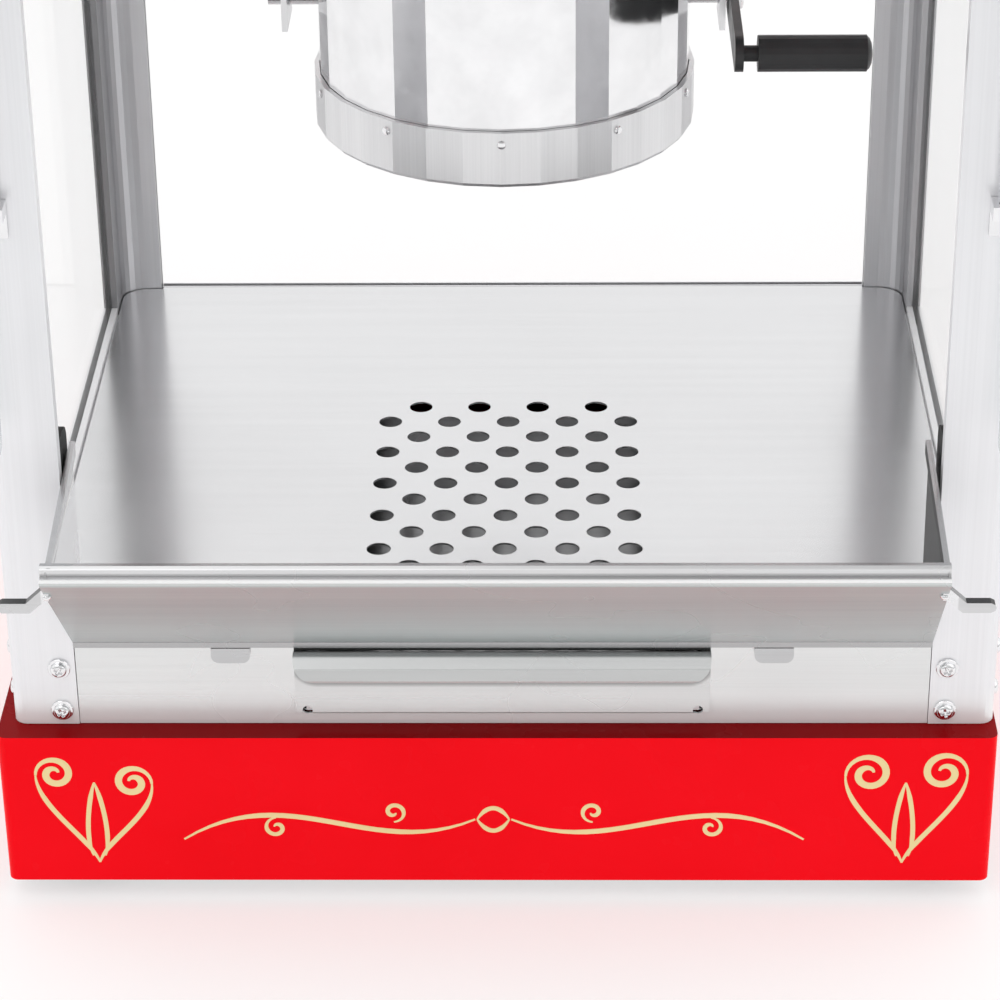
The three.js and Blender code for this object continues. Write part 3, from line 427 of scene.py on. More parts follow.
def trough_steel():
    """The folded trough, duller underneath, with painted shade and a painted highlight along its rolled rim,
    its ears and its sloping face.
    """
    material = brushed_metal("brushed_trough_steel", "X", (0.76, 0.76, 0.77), (0.84, 0.84, 0.85),
                             0.27, 0.75)
    tree = material.node_tree
    height = drawn(tree, "Z")
    # painted shade in bands along the height: the lower flange, the groove over the bead and the rim's edge
    shade_bands(material, height, 44, 130, TROUGH_TONES)
    # painted highlight: the bead turned pale and not metallic where its rim shines
    bead = both(tree, above(tree, height, BEAD_LOW, 0.2), below(tree, height, BEAD_HIGH, 0.15))
    shade_where(material, bead, 1.0, "MIX")
    change_where(material, "Metallic", bead, 0.0)
    # painted shade, nearly black, on upward faces below the ears' tops
    shade_where(material, both(tree, facing(tree, UPWARD), below(tree, height, EAR_TOP)), 0.1)
    outer = math_node(tree, "ABSOLUTE", drawn(tree, "X"), 0)
    # painted shade on the ears' front faces
    ear_front = both(tree, facing(tree, FRONTWARD), above(tree, outer, EAR_INNER))
    shade_where(material, both(tree, ear_front, below(tree, height, EAR_TOP)), 0.78)
    # painted shade on the faces that look left, the inner side of the right cheek
    paint_dark_side(material, LEFTWARD)
    # painted shade on the sloping underside, a little less red, and darker further up
    underside = facing(tree, TROUGH_SLOPE, 0.88, 0.97)
    shade_where(material, underside, (0.73, 0.79, 0.78))
    shade_where(material, both(tree, underside, ranged(tree, height, 0.0, 1.0, *SLOPE_FADE)), 0.84)
    change_where(material, "Metallic", underside, 0.25)
    return material


def tab_steel():
    material = brushed_metal("brushed_tab_steel", "X", (0.76, 0.76, 0.77), (0.84, 0.84, 0.85), 0.27, 0.75)
    # painted shade on the tabs' front faces
    shade_where(material, facing(material.node_tree, FRONTWARD), 0.74)
    return material


LIP_CORNER = 11
LIP_SHADE_CENTRE = (drawer_half - LIP_CORNER, 35.9)
PLATE_DEPTH = -2.2                      # the drawer's plate lies behind this depth
FLAP_DEPTH = -9.8                       # and the lip's hanging flap in front of this one
CURL_HEIGHT = 42.6
LIP_HOLLOW = 38                         # the plate is hidden in the lip's fold above this height, and painted nearly black there as shade
LIP_SHADE_EDGE = 34


def drawer_steel():
    """The drawer's front, with painted shade in the curl of its lip and on its flap, and a painted shadow
    under the lip.
    """
    material = brushed_metal("brushed_drawer_steel", "X", (0.78, 0.79, 0.79), (0.85, 0.86, 0.86),
                             0.27, 0.75)
    tree = material.node_tree
    height = drawn(tree, "Z")
    depth = drawn(tree, "Y")
    across = math_node(tree, "ABSOLUTE", drawn(tree, "X"), 0)
    plate = above(tree, depth, PLATE_DEPTH)
    lip = below(tree, depth, PLATE_DEPTH - 0.2)
    # painted shade, nearly black, on the plate inside the lip's fold
    shade_where(material, both(tree, plate, above(tree, height, LIP_HOLLOW)), 0.05)
    # painted shade on the curl at the top of the lip
    shade_where(material, both(tree, lip, above(tree, height, CURL_HEIGHT, 0.4)), 0.66)
    # painted shade on the lip's hanging flap
    shade_where(material, below(tree, depth, FLAP_DEPTH), 0.76)
    # painted shadow on the plate just under the lip
    shade_where(material, both(tree, plate, below(tree, height, LIP_SHADE_EDGE)), 0.86)
    # painted shadow that follows the lip's rounded corners onto the plate
    past_corner = math_node(tree, "SUBTRACT", across, LIP_SHADE_CENTRE[0])
    past_corner = math_node(tree, "MAXIMUM", past_corner, 0)
    under_corner = math_node(tree, "SUBTRACT", height, LIP_SHADE_CENTRE[1])
    under_corner = math_node(tree, "MINIMUM", under_corner, 0)
    squares = math_node(tree, "ADD", both(tree, past_corner, past_corner),
                        both(tree, under_corner, under_corner))
    reach = math_node(tree, "SQRT", squares, 0)
    inside = above(tree, reach, LIP_CORNER - 0.4)
    outside = below(tree, reach, LIP_CORNER + 2.0, 1.0)
    shade_where(material, both(tree, plate, both(tree, inside, outside)), 0.55)
    paint_foot_light(material, 0.86)
    return material


REAR_LEG_END = 229.5                    # the end of a rear post's leg lies further out than this


def rear_post_satin(side, inward, tone, end_tone):
    """A darker copy of the satin aluminium, as painted shade, with more painted shade on its inner side and
    on the end of its leg.
    """
    material = satin_aluminium(f"satin_rear_{side}", (0.74, 0.74, 0.76))
    tree = material.node_tree
    shade_where(material, facing(tree, (inward, 0, 0)), tone)
    outer = math_node(tree, "ABSOLUTE", drawn(tree, "X"), 0)
    leg_end = both(tree, facing(tree, FRONTWARD), above(tree, outer, REAR_LEG_END))
    shade_where(material, leg_end, end_tone)
    return material


def rail_satin():
    # painted light: a paler, less metallic copy of the satin aluminium
    material = satin_aluminium("satin_rail", (0.93, 0.93, 0.94))
    material.node_tree.nodes["Principled BSDF"].inputs["Metallic"].default_value = 0.5
    return material


def base_enamel():
    """Paint that hardly shines, paler than the hood's red enamel as painted light, with painted shade on its
    upward faces.
    """
    # painted light: a paler red than the hood's enamel
    material = gloss_paint("red_enamel_base", (0.95, 0.002, 0.008), (1.0, 0.003, 0.011))
    material.node_tree.nodes["Principled BSDF"].inputs["Specular IOR Level"].default_value = 0.05
    # painted shade on the upward faces
    shade_where(material, facing(material.node_tree, UPWARD), 0.26)
    return material


TROUGH_STEEL = trough_steel()
TAB_STEEL = tab_steel()
DRAWER_STEEL = drawer_steel()
DECK_STEEL = brushed_metal("brushed_deck_steel", "X", (0.745, 0.745, 0.755), (0.775, 0.775, 0.785),
                           0.23, 0.6, 0.25)
RAIL = rail_satin()
# painted shade: deeper on the left post's inner side and leg end than on the right's
REAR_LEFT = rear_post_satin("left", 1, 0.6, 0.36)
REAR_RIGHT = rear_post_satin("right", -1, 0.66, 0.66)
APRON_STEEL = brushed_metal("brushed_apron_steel", "X", (0.74, 0.75, 0.75), (0.8, 0.81, 0.81), 0.27, 0.75)
# painted light on the lowest part of the apron and of the satin aluminium parts
paint_foot_light(APRON_STEEL, 0.9)
paint_foot_light(SATIN, 0.93)
RED = gloss_paint("red_enamel", (0.82, 0.001, 0.007), (0.88, 0.002, 0.01))
BASE_RED = base_enamel()
CREAM = gloss_paint("cream_print", (0.86, 0.68, 0.33), (0.92, 0.76, 0.4))
CHROME = polished_metal("polished_steel", (0.78, 0.78, 0.79), (0.88, 0.88, 0.89), 0.08)
BRASS = polished_metal("brass", (0.6, 0.45, 0.17), (0.72, 0.56, 0.25), 0.2)
RUBBER = moulded("black_rubber", (0.012, 0.012, 0.012), (0.03, 0.03, 0.03), 0.7, 380.0, 0.35)
PLASTIC = moulded("black_plastic", (0.012, 0.012, 0.013), (0.024, 0.024, 0.026), 0.36, 650.0, 0.18)
MOTOR_GREY = moulded("motor_paint", (0.2, 0.21, 0.22), (0.3, 0.31, 0.33), 0.5, 260.0, 0.3)
PANE = clear_sheet("clear_acrylic", (0.95, 0.97, 0.97), (0.99, 1.0, 1.0), 0.03, 0.26)
DOOR_PANE = clear_sheet("door_acrylic", (0.55, 0.66, 0.65), (0.66, 0.76, 0.75), 0.14, 0.75)
LAMP = frosted_glass("lamp_glass", (0.93, 0.88, 0.76), (0.98, 0.95, 0.86))

SLOT_MATERIALS = {
    "brushed_steel": BRUSHED_X,
    "satin_aluminium": SATIN,
    "red_paint": RED,
    "polished_steel": CHROME,
    "rubber": RUBBER,
    "black_plastic": PLASTIC,
    "clear_pane": PANE,
    "lamp_glass": LAMP,
    "brass": BRASS,
    "motor_grey": MOTOR_GREY,
}
NODE_MATERIALS = {
    "left_door": DOOR_PANE, "right_door": DOOR_PANE,
    "left_rail": RAIL, "right_rail": RAIL,
    "rear_left_post": REAR_LEFT, "rear_right_post": REAR_RIGHT,
    "left_trough_tab": TAB_STEEL, "right_trough_tab": TAB_STEEL,
    "kettle_hanger": BRUSHED_Z, "kettle_heater_case": BRUSHED_Z,
    "base_shell": BASE_RED, "front_trough": TROUGH_STEEL,
    "drawer_front": DRAWER_STEEL, "front_apron": APRON_STEEL,
}
for part in frame["record"]["subparts"]:
    finish = SLOT_MATERIALS[part["material_slot"]]
    finish = NODE_MATERIALS.get(part["node"], finish)
    mesh = nodes[part["node"]].data
    mesh.materials.clear()
    mesh.materials.append(finish)


# ---------------------------------------------------------------- soft edges on the CAD parts
def soften(name, width_mm, segments=2, angle=30.0):
    """Rounds a CAD node's sharp edges and shades its curved faces smoothly."""
    piece = nodes[name]
    bevel = piece.modifiers.new("edges", "BEVEL")
    bevel.width = width_mm * MM
    bevel.segments = segments
    bevel.limit_method = "ANGLE"
    bevel.angle_limit = math.radians(angle)
    bevel.harden_normals = False
    bevel.use_clamp_overlap = True
    smooth_by_angle(piece)


def smooth_by_angle(piece, angle=35.0):
    """Shades smoothly across every edge that bends by less than the angle."""
    bpy.context.view_layer.update()
    for face in piece.data.polygons:
        face.use_smooth = True
    piece.data.set_sharp_from_angle(angle=math.radians(angle))


EDGE_WIDTHS = {
    "base_shell": 1.6, "hood_shell": 0.6, "hood_cap": 0.5, "base_floor": 0.3,
    "front_apron": 0.35, "front_trough": 0.3, "drawer_front": 0.25, "crumb_tray": 0.25,
    "left_trough_tab": 0.25, "right_trough_tab": 0.25, "drawer_runner": 0.2,
    "popcorn_deck": 0.2, "ceiling_panel": 0.2, "switch_panel": 0.3,
    "left_rail": 0.3, "right_rail": 0.3, "rear_rail": 0.3,
    "left_corner_block": 1.2, "right_corner_block": 1.2,
    "left_pane": 0.4, "right_pane": 0.4, "rear_pane": 0.4, "left_door": 0.8, "right_door": 0.8,
    "kettle_hanger": 0.4, "kettle_pot": 0.5, "kettle_handle": 1.2, "kettle_heater_case": 0.5,
    "kettle_front_lid": 0.3, "kettle_rear_lid": 0.3, "stirrer": 0.4,
    "drive_shaft": 0.3, "motor_pinion": 0.2, "gear_motor": 0.6,
    "lamp_holder": 0.4, "mains_inlet": 0.5,
    "heat_switch": 0.6, "motor_switch": 0.6, "light_switch": 0.6,
}
FAMILY_EDGE_WIDTHS = {"post": 0.4, "_foot": 0.8, "bracket": 0.4, "door_hinge": 0.4}
for node_name in nodes:
    family = [width for word, width in FAMILY_EDGE_WIDTHS.items() if word in node_name]
    if family:
        soften(node_name, family[0])
    elif node_name in EDGE_WIDTHS:
        soften(node_name, EDGE_WIDTHS[node_name])
    else:
        smooth_by_angle(nodes[node_name])


# ---------------------------------------------------------------- studio
DIM_SIDE = (-0.95, 0.66)                # (direction's Y, strength) on the operator's side
BRIGHT_SIDE = (-0.35, 1.08)             # and from here on towards the back
HORIZON = (0.04, 0.55)                  # (direction's Z, share of the strength)
ROOM_TOP = (0.24, 1.0)


def make_world():
    """A white studio, dimmer on the operator's side and towards the horizon."""
    world = bpy.data.worlds.new("studio")
    bpy.context.scene.world = world
    world.use_nodes = True
    tree = world.node_tree
    background = tree.nodes["Background"]
    where = add(tree, "ShaderNodeTexCoord")
    split = add(tree, "ShaderNodeSeparateXYZ")
    tree.links.new(where.outputs["Generated"], split.inputs["Vector"])
    ramp = add(tree, "ShaderNodeMapRange", interpolation_type="SMOOTHSTEP")
    ramp.inputs["From Min"].default_value, ramp.inputs["To Min"].default_value = DIM_SIDE
    ramp.inputs["From Max"].default_value, ramp.inputs["To Max"].default_value = BRIGHT_SIDE
    tree.links.new(split.outputs["Y"], ramp.inputs["Value"])
    rise = ranged(tree, split.outputs["Z"], HORIZON[1], ROOM_TOP[1], HORIZON[0], ROOM_TOP[0])
    tree.links.new(both(tree, ramp.outputs["Result"], rise), background.inputs["Strength"])
    background.inputs["Color"].default_value = (1.0, 1.0, 1.0, 1.0)


FLOOR_HALF = 20


def make_floor():
    """White paper that gives off a little light, so that it stays pale round the machine."""
    mesh = bpy.data.meshes.new("floor")
    shape = bmesh.new()
    bmesh.ops.create_grid(shape, x_segments=2, y_segments=2, size=FLOOR_HALF)
    shape.to_mesh(mesh)
    shape.free()
    floor = bpy.data.objects.new("floor", mesh)
    bpy.context.scene.collection.objects.link(floor)
    material, tree, shader = new_material("floor_paper")
    shade = noise(tree, object_place(tree), 0.6, 2.0)
    paper = tinted(tree, shade, (0.54, 0.54, 0.54), (0.56, 0.56, 0.56))
    tree.links.new(paper, shader.inputs["Base Color"])
    shader.inputs["Emission Color"].default_value = (1.0, 1.0, 1.0, 1.0)
    shader.inputs["Emission Strength"].default_value = 0.45
    shader.inputs["Roughness"].default_value = 0.9
    shader.inputs["Specular IOR Level"].default_value = 0.1
    mesh.materials.append(material)


def make_light(name, where, target, size, power):
    """A soft rectangle that shines at a target."""
    data = bpy.data.lights.new(name, "AREA")
    data.shape = "RECTANGLE"
    data.size = size[0]
    data.size_y = size[1]
    data.energy = power
    light = bpy.data.objects.new(name, data)
    bpy.context.scene.collection.objects.link(light)
    light.location = where
    light.rotation_euler = (target - where).to_track_quat("-Z", "Y").to_euler()


make_world()
make_floor()
make_light("key", at(-900, -1500, 2300), at(0, 0, 150), (1.6, 1.6), 7)
make_light("fill", at(1600, -700, 1500), at(0, 100, 150), (1.8, 1.8), 3)
make_light("top", at(0, 500, 2600), at(0, 200, 300), (2.4, 2.4), 5)


# ---------------------------------------------------------------- helpers for added pieces
def link(name, data, material, body):
    """Adds a piece that rides on a body and takes a material slot."""
    piece = bpy.data.objects.new(name, data)
    bpy.context.scene.collection.objects.link(piece)
    data.materials.append(material)
    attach(piece, body)
    return piece


def mesh_piece(name, parts, material, body):
    """One object from several (vertices, faces) parts, given in metres."""
    vertices = []
    faces = []
    for part_vertices, part_faces in parts:
        start = len(vertices)
        vertices.extend(tuple(vertex) for vertex in part_vertices)
        faces.extend(tuple(start + index for index in face) for face in part_faces)
    data = bpy.data.meshes.new(name)
    data.from_pydata(vertices, [], faces)
    shape = bmesh.new()
    shape.from_mesh(data)
    bmesh.ops.recalc_face_normals(shape, faces=shape.faces)
    shape.to_mesh(data)
    shape.free()
    piece = link(name, data, material, body)
    smooth_by_angle(piece)
    return piece


def plane(origin, right):
    """Turns (across, up, out) in millimetres on an upright face into a place in metres."""
    right = Vector(right)
    up = Vector(UPWARD)
    out = right.cross(up)

    def put(across, upward, outward=0.0):
        return origin + (right * across + up * upward + out * outward) * MM

    return put


FACING = {"front": (1, 0, 0), "back": (-1, 0, 0), "right": (0, 1, 0), "left": (0, -1, 0)}
SEAT_GAP = 0.02                         # between a face and what lies on it


def spiral(cx, cz, radius, start, sweep, shrink, steps=40):
    """A curl, with its angles in degrees; the radius shrinks to its given share by the end."""
    points = []
    for step in range(steps + 1):
        share = step / steps
        angle = math.radians(start + sweep * share)
        reach = radius * (1 - (1 - shrink) * share)
        points.append((cx + reach * math.cos(angle), cz + reach * math.sin(angle)))
    return points


def swoop(p0, p1, p2, p3, steps=24):
    """A cubic curve from p0 to p3, drawn towards p1 and p2."""
    points = []
    for step in range(steps + 1):
        t = step / steps
        weights = ((1 - t) ** 3, 3 * t * (1 - t) ** 2, 3 * t * t * (1 - t), t ** 3)
        corners = list(zip(weights, (p0, p1, p2, p3)))
        points.append(tuple(sum(weight * corner[axis] for weight, corner in corners) for axis in (0, 1)))
    return points


def ribbon(put, path, width, thickness, taper):
    """A thin flat strip along a path, its two ends drawn in to a share of the full width."""
    vertices = []
    faces = []
    last = len(path) - 1
    for index, (u, v) in enumerate(path):
        before = path[max(index - 1, 0)]
        after = path[min(index + 1, last)]
        along = Vector((after[0] - before[0], after[1] - before[1])).normalized()
        edge = min(index, last - index) / max(last * 0.25, 1)
        half = width / 2 * (taper + (1 - taper) * min(1.0, edge))
        side = Vector((-along.y, along.x)) * half
        for sign in (1, -1):
            for lift in (SEAT_GAP, thickness):
                vertices.append(put(u + sign * side.x, v + sign * side.y, lift))
        if index:
            a = 4 * (index - 1)
            b = 4 * index
            faces += [(a + 1, b + 1, b + 3, a + 3), (a, a + 2, b + 2, b), (a, b, b + 1, a + 1),
                      (a + 2, a + 3, b + 3, b + 2)]
    faces += [(0, 1, 3, 2), (4 * last, 4 * last + 2, 4 * last + 3, 4 * last + 1)]
    return vertices, faces


def spun(put, rings, sides=48, dip=None):
    """A turned shape standing out of a plane, from (radius, out) rings; dip() lowers points."""
    vertices = [put(0, 0, rings[0][1] - (dip(0, 0) if dip else 0))]
    faces = []
    for ring, (radius, out) in enumerate(rings):
        for step in range(sides):
            angle = 2 * math.pi * step / sides
            u = radius * math.cos(angle)
            v = radius * math.sin(angle)
            vertices.append(put(u, v, out - (dip(u, v) if dip else 0)))
            following = (step + 1) % sides
            here = 1 + ring * sides
            if ring == 0:
                faces.append((0, here + step, here + following))
            else:
                inner = here - sides
                faces.append((inner + step, here + step, here + following, inner + following))
    base = 1 + (len(rings) - 1) * sides
    faces.append(tuple(base + step for step in range(sides)))
    return vertices, faces


def shifted(put, across, upward, turn=0.0):
    """The same plane moved along itself and turned in itself."""
    cosine = math.cos(turn)
    sine = math.sin(turn)
    return lambda u, v, out=0.0: put(across + u * cosine - v * sine, upward + u * sine + v * cosine, out)


# ---------------------------------------------------------------- screws
CROSS_REACH = 2.3
CROSS_HALF = 0.72
CROSS_DEPTH = 1.5


def phillips_dip(u, v):
    """Depth of the cross recess at a point of the head."""
    def arm(along, across):
        inside = max(0.0, min(1.0, (CROSS_REACH - abs(along)) / 0.35))
        return inside * max(0.0, min(1.0, (CROSS_HALF - abs(across)) / 0.3))
    return CROSS_DEPTH * max(arm(u, v), arm(v, u)) * (1 - 0.15 * math.hypot(u, v))


def pan_screw(put, washer=True, scale=1.0):
    """A pan head with a cross recess, as (radius, out) rings of an M5 screw."""
    head = [(0.25 * step, 3.9 - 0.03 * (0.25 * step) ** 2) for step in range(1, 11)]
    head += [(3.1, 3.45), (3.6, 3.05), (4.0, 2.45), (4.2, 1.8), (4.25, 1.25)]
    if washer:
        head += [(4.4, 1.2), (5.25, 1.2), (5.5, 0.95), (5.5, 0.05)]
    else:
        head += [(4.25, 0.05)]
    rings = [(radius * scale, out * scale) for radius, out in head]
    return spun(put, rings, 56, lambda u, v: scale * phillips_dip(u / scale, v / scale))


def screw_row(name, put, spots, turn_limit=3, washer=False, scale=1.0):
    """Screws on one face, each turned by chance."""
    heads = [pan_screw(shifted(put, u, v, random.uniform(0, turn_limit)), washer, scale) for u, v in spots]
    return mesh_piece(name, heads, CHROME, "cabinet")


random.seed(7)
SCREW_X = 218
SCREW_HEIGHTS = {"upper": 32.5, "lower": 8.6}
front_face = plane(at(0, 0, 0), FACING["front"])
for side, sign in SIDES:
    for level, height in SCREW_HEIGHTS.items():
        screw = screw_row(f"{level}_{side}_pan_screw", front_face, [(sign * SCREW_X, height)], math.pi, True)
        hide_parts(f"{level}_{side}_screw")


# ---------------------------------------------------------------- deck with truly round holes
DECK_SHEET = deck_high.z - deck_low.z
DECK_EDGE = 0.15                        # rounding of every edge of the sheet
HOLE_RADIUS = 6.2
HOLE_PITCH = 32.3
HOLE_ROW_STEP = 17.63
HOLE_FIRST_ROW = 251.8
HOLE_ROWS = 11
CIRCLE_HANDLE = 0.5523                  # length of a Bezier quarter circle's handles, as a share


def arc(cx, cy, radius, start, end, steps=12):
    """Points along a circle, with its angles in degrees."""
    angles = [math.radians(start + (end - start) * step / steps) for step in range(steps + 1)]
    return [(cx + radius * math.cos(angle), cy + radius * math.sin(angle)) for angle in angles]


def deck_outline():
    """The sheet's edge: notched round the posts, with large round corners."""
    right = [(209.4, deck_low.y), (209.4, 8.6)]
    right += arc(216.2, 22.6, 14, -90, 0) + arc(216.2, 391.8, 14, 0, 90)
    right += [(207.9, 405.8), (207.9, deck_high.y)]
    return right + [(-x, y) for x, y in reversed(right)]


def make_deck():
    """A sheet cut from a flat curve, so that its holes are truly round."""
    curve = bpy.data.curves.new("perforated_deck", "CURVE")
    curve.dimensions = "2D"
    curve.fill_mode = "BOTH"
    curve.resolution_u = 14
    curve.extrude = (DECK_SHEET / 2 - DECK_EDGE) * MM
    curve.bevel_depth = DECK_EDGE * MM
    curve.bevel_resolution = 1
    curve.offset = -DECK_EDGE * MM
    edge = deck_outline()
    spline = curve.splines.new("POLY")
    spline.points.add(len(edge) - 1)
    spline.use_cyclic_u = True
    for point, (x, y) in zip(spline.points, edge):
        place = at(x, y, 0)
        point.co = (place.x, place.y, 0, 1)
    for row in range(HOLE_ROWS):
        count = 4 if row % 2 == 0 else 5
        for column in range(count):
            across = (column - (count - 1) / 2) * HOLE_PITCH
            centre = at(across, HOLE_FIRST_ROW - row * HOLE_ROW_STEP, 0)
            hole = curve.splines.new("BEZIER")
            hole.bezier_points.add(3)
            hole.use_cyclic_u = True
            for quarter, point in enumerate(hole.bezier_points):
                angle = quarter * math.pi / 2
                outward = Vector((math.cos(angle), math.sin(angle), 0)) * HOLE_RADIUS * MM
                along = Vector((-outward.y, outward.x, 0)) * CIRCLE_HANDLE
                point.co = Vector((centre.x, centre.y, 0)) + outward
                point.handle_left = point.co - along
                point.handle_right = point.co + along
    deck = link("perforated_deck", curve, DECK_STEEL, "cabinet")
    deck.location.z = at(0, 0, deck_high.z - DECK_SHEET / 2).z
    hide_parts("popcorn_deck")


make_deck()


# ---------------------------------------------------------------- printed scrollwork
CURL_SWEEP = 520
CURL_SHRINK = 0.22


def lyre(left_x, right_x, left_radius, right_radius, left_top, right_top, foot):
    """Two facing C-scrolls that meet in a point below: their strokes, as (path, width)."""
    middle = (left_x + right_x) / 2
    left_z = left_top - left_radius
    right_z = right_top - right_radius
    strokes = [(spiral(left_x, left_z, left_radius, 185, -CURL_SWEEP, CURL_SHRINK), 3.6),
               (spiral(right_x, right_z, right_radius, -5, CURL_SWEEP, CURL_SHRINK), 3.6)]
    for outer, z, sign in ((left_x - left_radius, left_z, -1), (right_x + right_radius, right_z, 1)):
        stem = swoop((outer, z - 1), (outer, z - 20), (middle + 4 * sign, foot + 14), (middle, foot))
        strokes.append((stem, 2.6))
    for _, sign in SIDES:
        leaf = swoop((middle + 3 * sign, foot + 4), (middle + 7 * sign, foot + 16),
                     (middle + 3 * sign, left_z - 14), (middle, left_z - 5))
        strokes.append((leaf, 2.4))
    return strokes


def garland(x0, x1, z, height):
    """Two mirrored S-curves that meet at a small leaf in the middle."""
    middle = (x0 + x1) / 2
    curl = height * 0.3
    strokes = []
    for end, sign in ((x0, 1), (x1, -1)):
        reach = sign * abs(middle - end)
        wave = swoop((end, z - height * 0.6), (end + reach * 0.35, z + height * 1.3),
                     (end + reach * 0.6, z - height * 1.3), (middle - sign * 9, z))
        strokes.append((wave, 2.8))
        strokes.append((spiral(end + reach * 0.3, z - height * 0.25, curl, 90, sign * 420, 0.2), 2.2))
        strokes.append((spiral(end + reach * 0.68, z + height * 0.22, curl, -90, sign * 420, 0.2), 2.2))
    for bulge in (9, -9):
        leaf = swoop((middle - 8, z), (middle - 3, z + bulge), (middle + 3, z + bulge), (middle + 8, z))
        strokes.append((leaf, 2.4))
    return strokes


def border(half, z0, z1, radius=8, width=2.0):
    """A closed line with rounded corners, as one stroke."""
    left = radius - half
    right = half - radius
    path = arc(right, z1 - radius, radius, 90, 0) + arc(right, z0 + radius, radius, 0, -90)
    path += arc(left, z0 + radius, radius, -90, -180) + arc(left, z1 - radius, radius, 180, 90)
    path.append(path[0])
    return [(path, width)]


INK = 0.15
INK_STEP = 0.01


def print_on(name, put, strokes):
    """Each stroke lies a hair higher than the last, so that no two crossing faces share a plane."""
    parts = []
    for index, (path, width) in enumerate(strokes):
        closed = path[0] == path[-1]
        parts.append(ribbon(put, path, width, INK + INK_STEP * index, 1.0 if closed else 0.35))
    mesh_piece(name, parts, CREAM, "cabinet")


MIDDLE_Y = 207                          # about half-way from the front to the back
BASE_LYRE_FOOT = -74
HOOD_LYRE_FOOT = 468
HOOD_LYRE_TOP = 562
BORDER_LOW = 449
BORDER_HIGH = 580

base_front = plane(at(0, base_low.y, 0), FACING["front"])
base_left = plane(at(base_low.x, MIDDLE_Y, 0), FACING["left"])
base_right = plane(at(base_high.x, MIDDLE_Y, 0), FACING["right"])
base_back = plane(at(0, base_high.y, 0), FACING["back"])
hood_front = plane(at(0, hood_low.y, 0), FACING["front"])
hood_left = plane(at(hood_low.x, MIDDLE_Y, 0), FACING["left"])
hood_right = plane(at(hood_high.x, MIDDLE_Y, 0), FACING["right"])
hood_back = plane(at(0, hood_high.y, 0), FACING["back"])


def hood_lyre(left_x, right_x, radius=13):
    return lyre(left_x, right_x, radius, radius, HOOD_LYRE_TOP, HOOD_LYRE_TOP, HOOD_LYRE_FOOT)


print_on("base_front_scrolls", base_front,
         lyre(-222.5, -184, 9.6, 9.6, -11.5, -16.5, BASE_LYRE_FOOT)
         + lyre(181, 218, 11.6, 11.6, -9.5, -8.5, BASE_LYRE_FOOT) + garland(-160, 150, -48, 20))
for name, put in (("base_left_scrolls", base_left), ("base_right_scrolls", base_right)):
    print_on(name, put, lyre(-20, 20, 11, 11, -12, -12, BASE_LYRE_FOOT)
             + garland(-190, -40, -44, 18) + garland(40, 190, -44, 18))
print_on("hood_front_scrolls", hood_front,
         border(222, BORDER_LOW, BORDER_HIGH) + hood_lyre(-178, -132) + hood_lyre(132, 178)
         + garland(-78, 78, 559, 9))
for name, put in (("hood_left_scrolls", hood_left), ("hood_right_scrolls", hood_right)):
    print_on(name, put, border(192, BORDER_LOW, BORDER_HIGH) + hood_lyre(-24, 24)
             + garland(-175, -50, 515, 26) + garland(50, 175, 515, 26))


# ---------------------------------------------------------------- bright trim round the hood's lower edge
TRIM_LOW = 432
TRIM_HIGH = 441
TRIM_OUT = 0.9
TRIM_SCREWS = 5
TRIM_SCREW_INSET = 12


def pressed_strip(put, half, z0, z1, out):
    """A strip standing out of a face, with its long edges drawn in to the face."""
    section = [(z0, 0.05), (z0 + 0.5, out), (z1 - 0.5, out), (z1, 0.05)]
    vertices = [put(u, z, lift) for u in (-half, half) for z, lift in section]
    faces = [(i, (i + 1) % 4, 4 + (i + 1) % 4, 4 + i) for i in range(4)] + [(3, 2, 1, 0), (4, 5, 6, 7)]
    return vertices, faces


def raised(put, height):
    """The same plane, further out."""
    return lambda u, v, out=0.0: put(u, v, out + height)


TRIM_FACES = {"front": (hood_front, 224), "left": (hood_left, 197),
              "right": (hood_right, 197), "back": (hood_back, 224)}
for name, (put, half) in TRIM_FACES.items():
    strips = [pressed_strip(put, half, TRIM_LOW, TRIM_HIGH, TRIM_OUT)]
    on_strip = raised(put, TRIM_OUT - 0.1)
    for index in range(TRIM_SCREWS):
        across = (index / (TRIM_SCREWS - 1) * 2 - 1) * (half - TRIM_SCREW_INSET)
        spot = shifted(on_strip, across, (TRIM_LOW + TRIM_HIGH) / 2, random.uniform(0, 3))
        strips.append(pan_screw(spot, washer=False, scale=0.42))
    mesh_piece(f"hood_{name}_trim", strips, CHROME, "cabinet")


# ---------------------------------------------------------------- louvres and case screws
def louvre(put, width=44.0, height=5.5, depth=2.2):
    """A pressed eyebrow, open along its lower edge."""
    vertices = []
    faces = []
    columns = 16
    rows = 6
    for column in range(columns + 1):
        u = (column / columns - 0.5) * width
        ends = min(1.0, min(column, columns - column) / 2.0)
        for row in range(rows + 1):
            share = row / rows
            vertices.append(put(u, -height * share, 0.03 + depth * ends * math.sin(share * math.pi / 2)))
            if column and row:
                a = (column - 1) * (rows + 1) + row
                b = column * (rows + 1) + row
                faces.append((a - 1, a, b, b - 1))
    return vertices, faces


def slot_shade_strip(put, width=40.0, height=1.8):
    """A black strip that stands as painted shade in the opening under a louvre."""
    vertices = [put(u, v, lift) for lift in (0.02, 0.1) for u, v in
                ((-width / 2, 0), (width / 2, 0), (width / 2, height), (-width / 2, height))]
    return vertices, [(4, 5, 6, 7), (3, 2, 1, 0), (0, 1, 5, 4), (1, 2, 6, 5), (2, 3, 7, 6), (3, 0, 4, 7)]


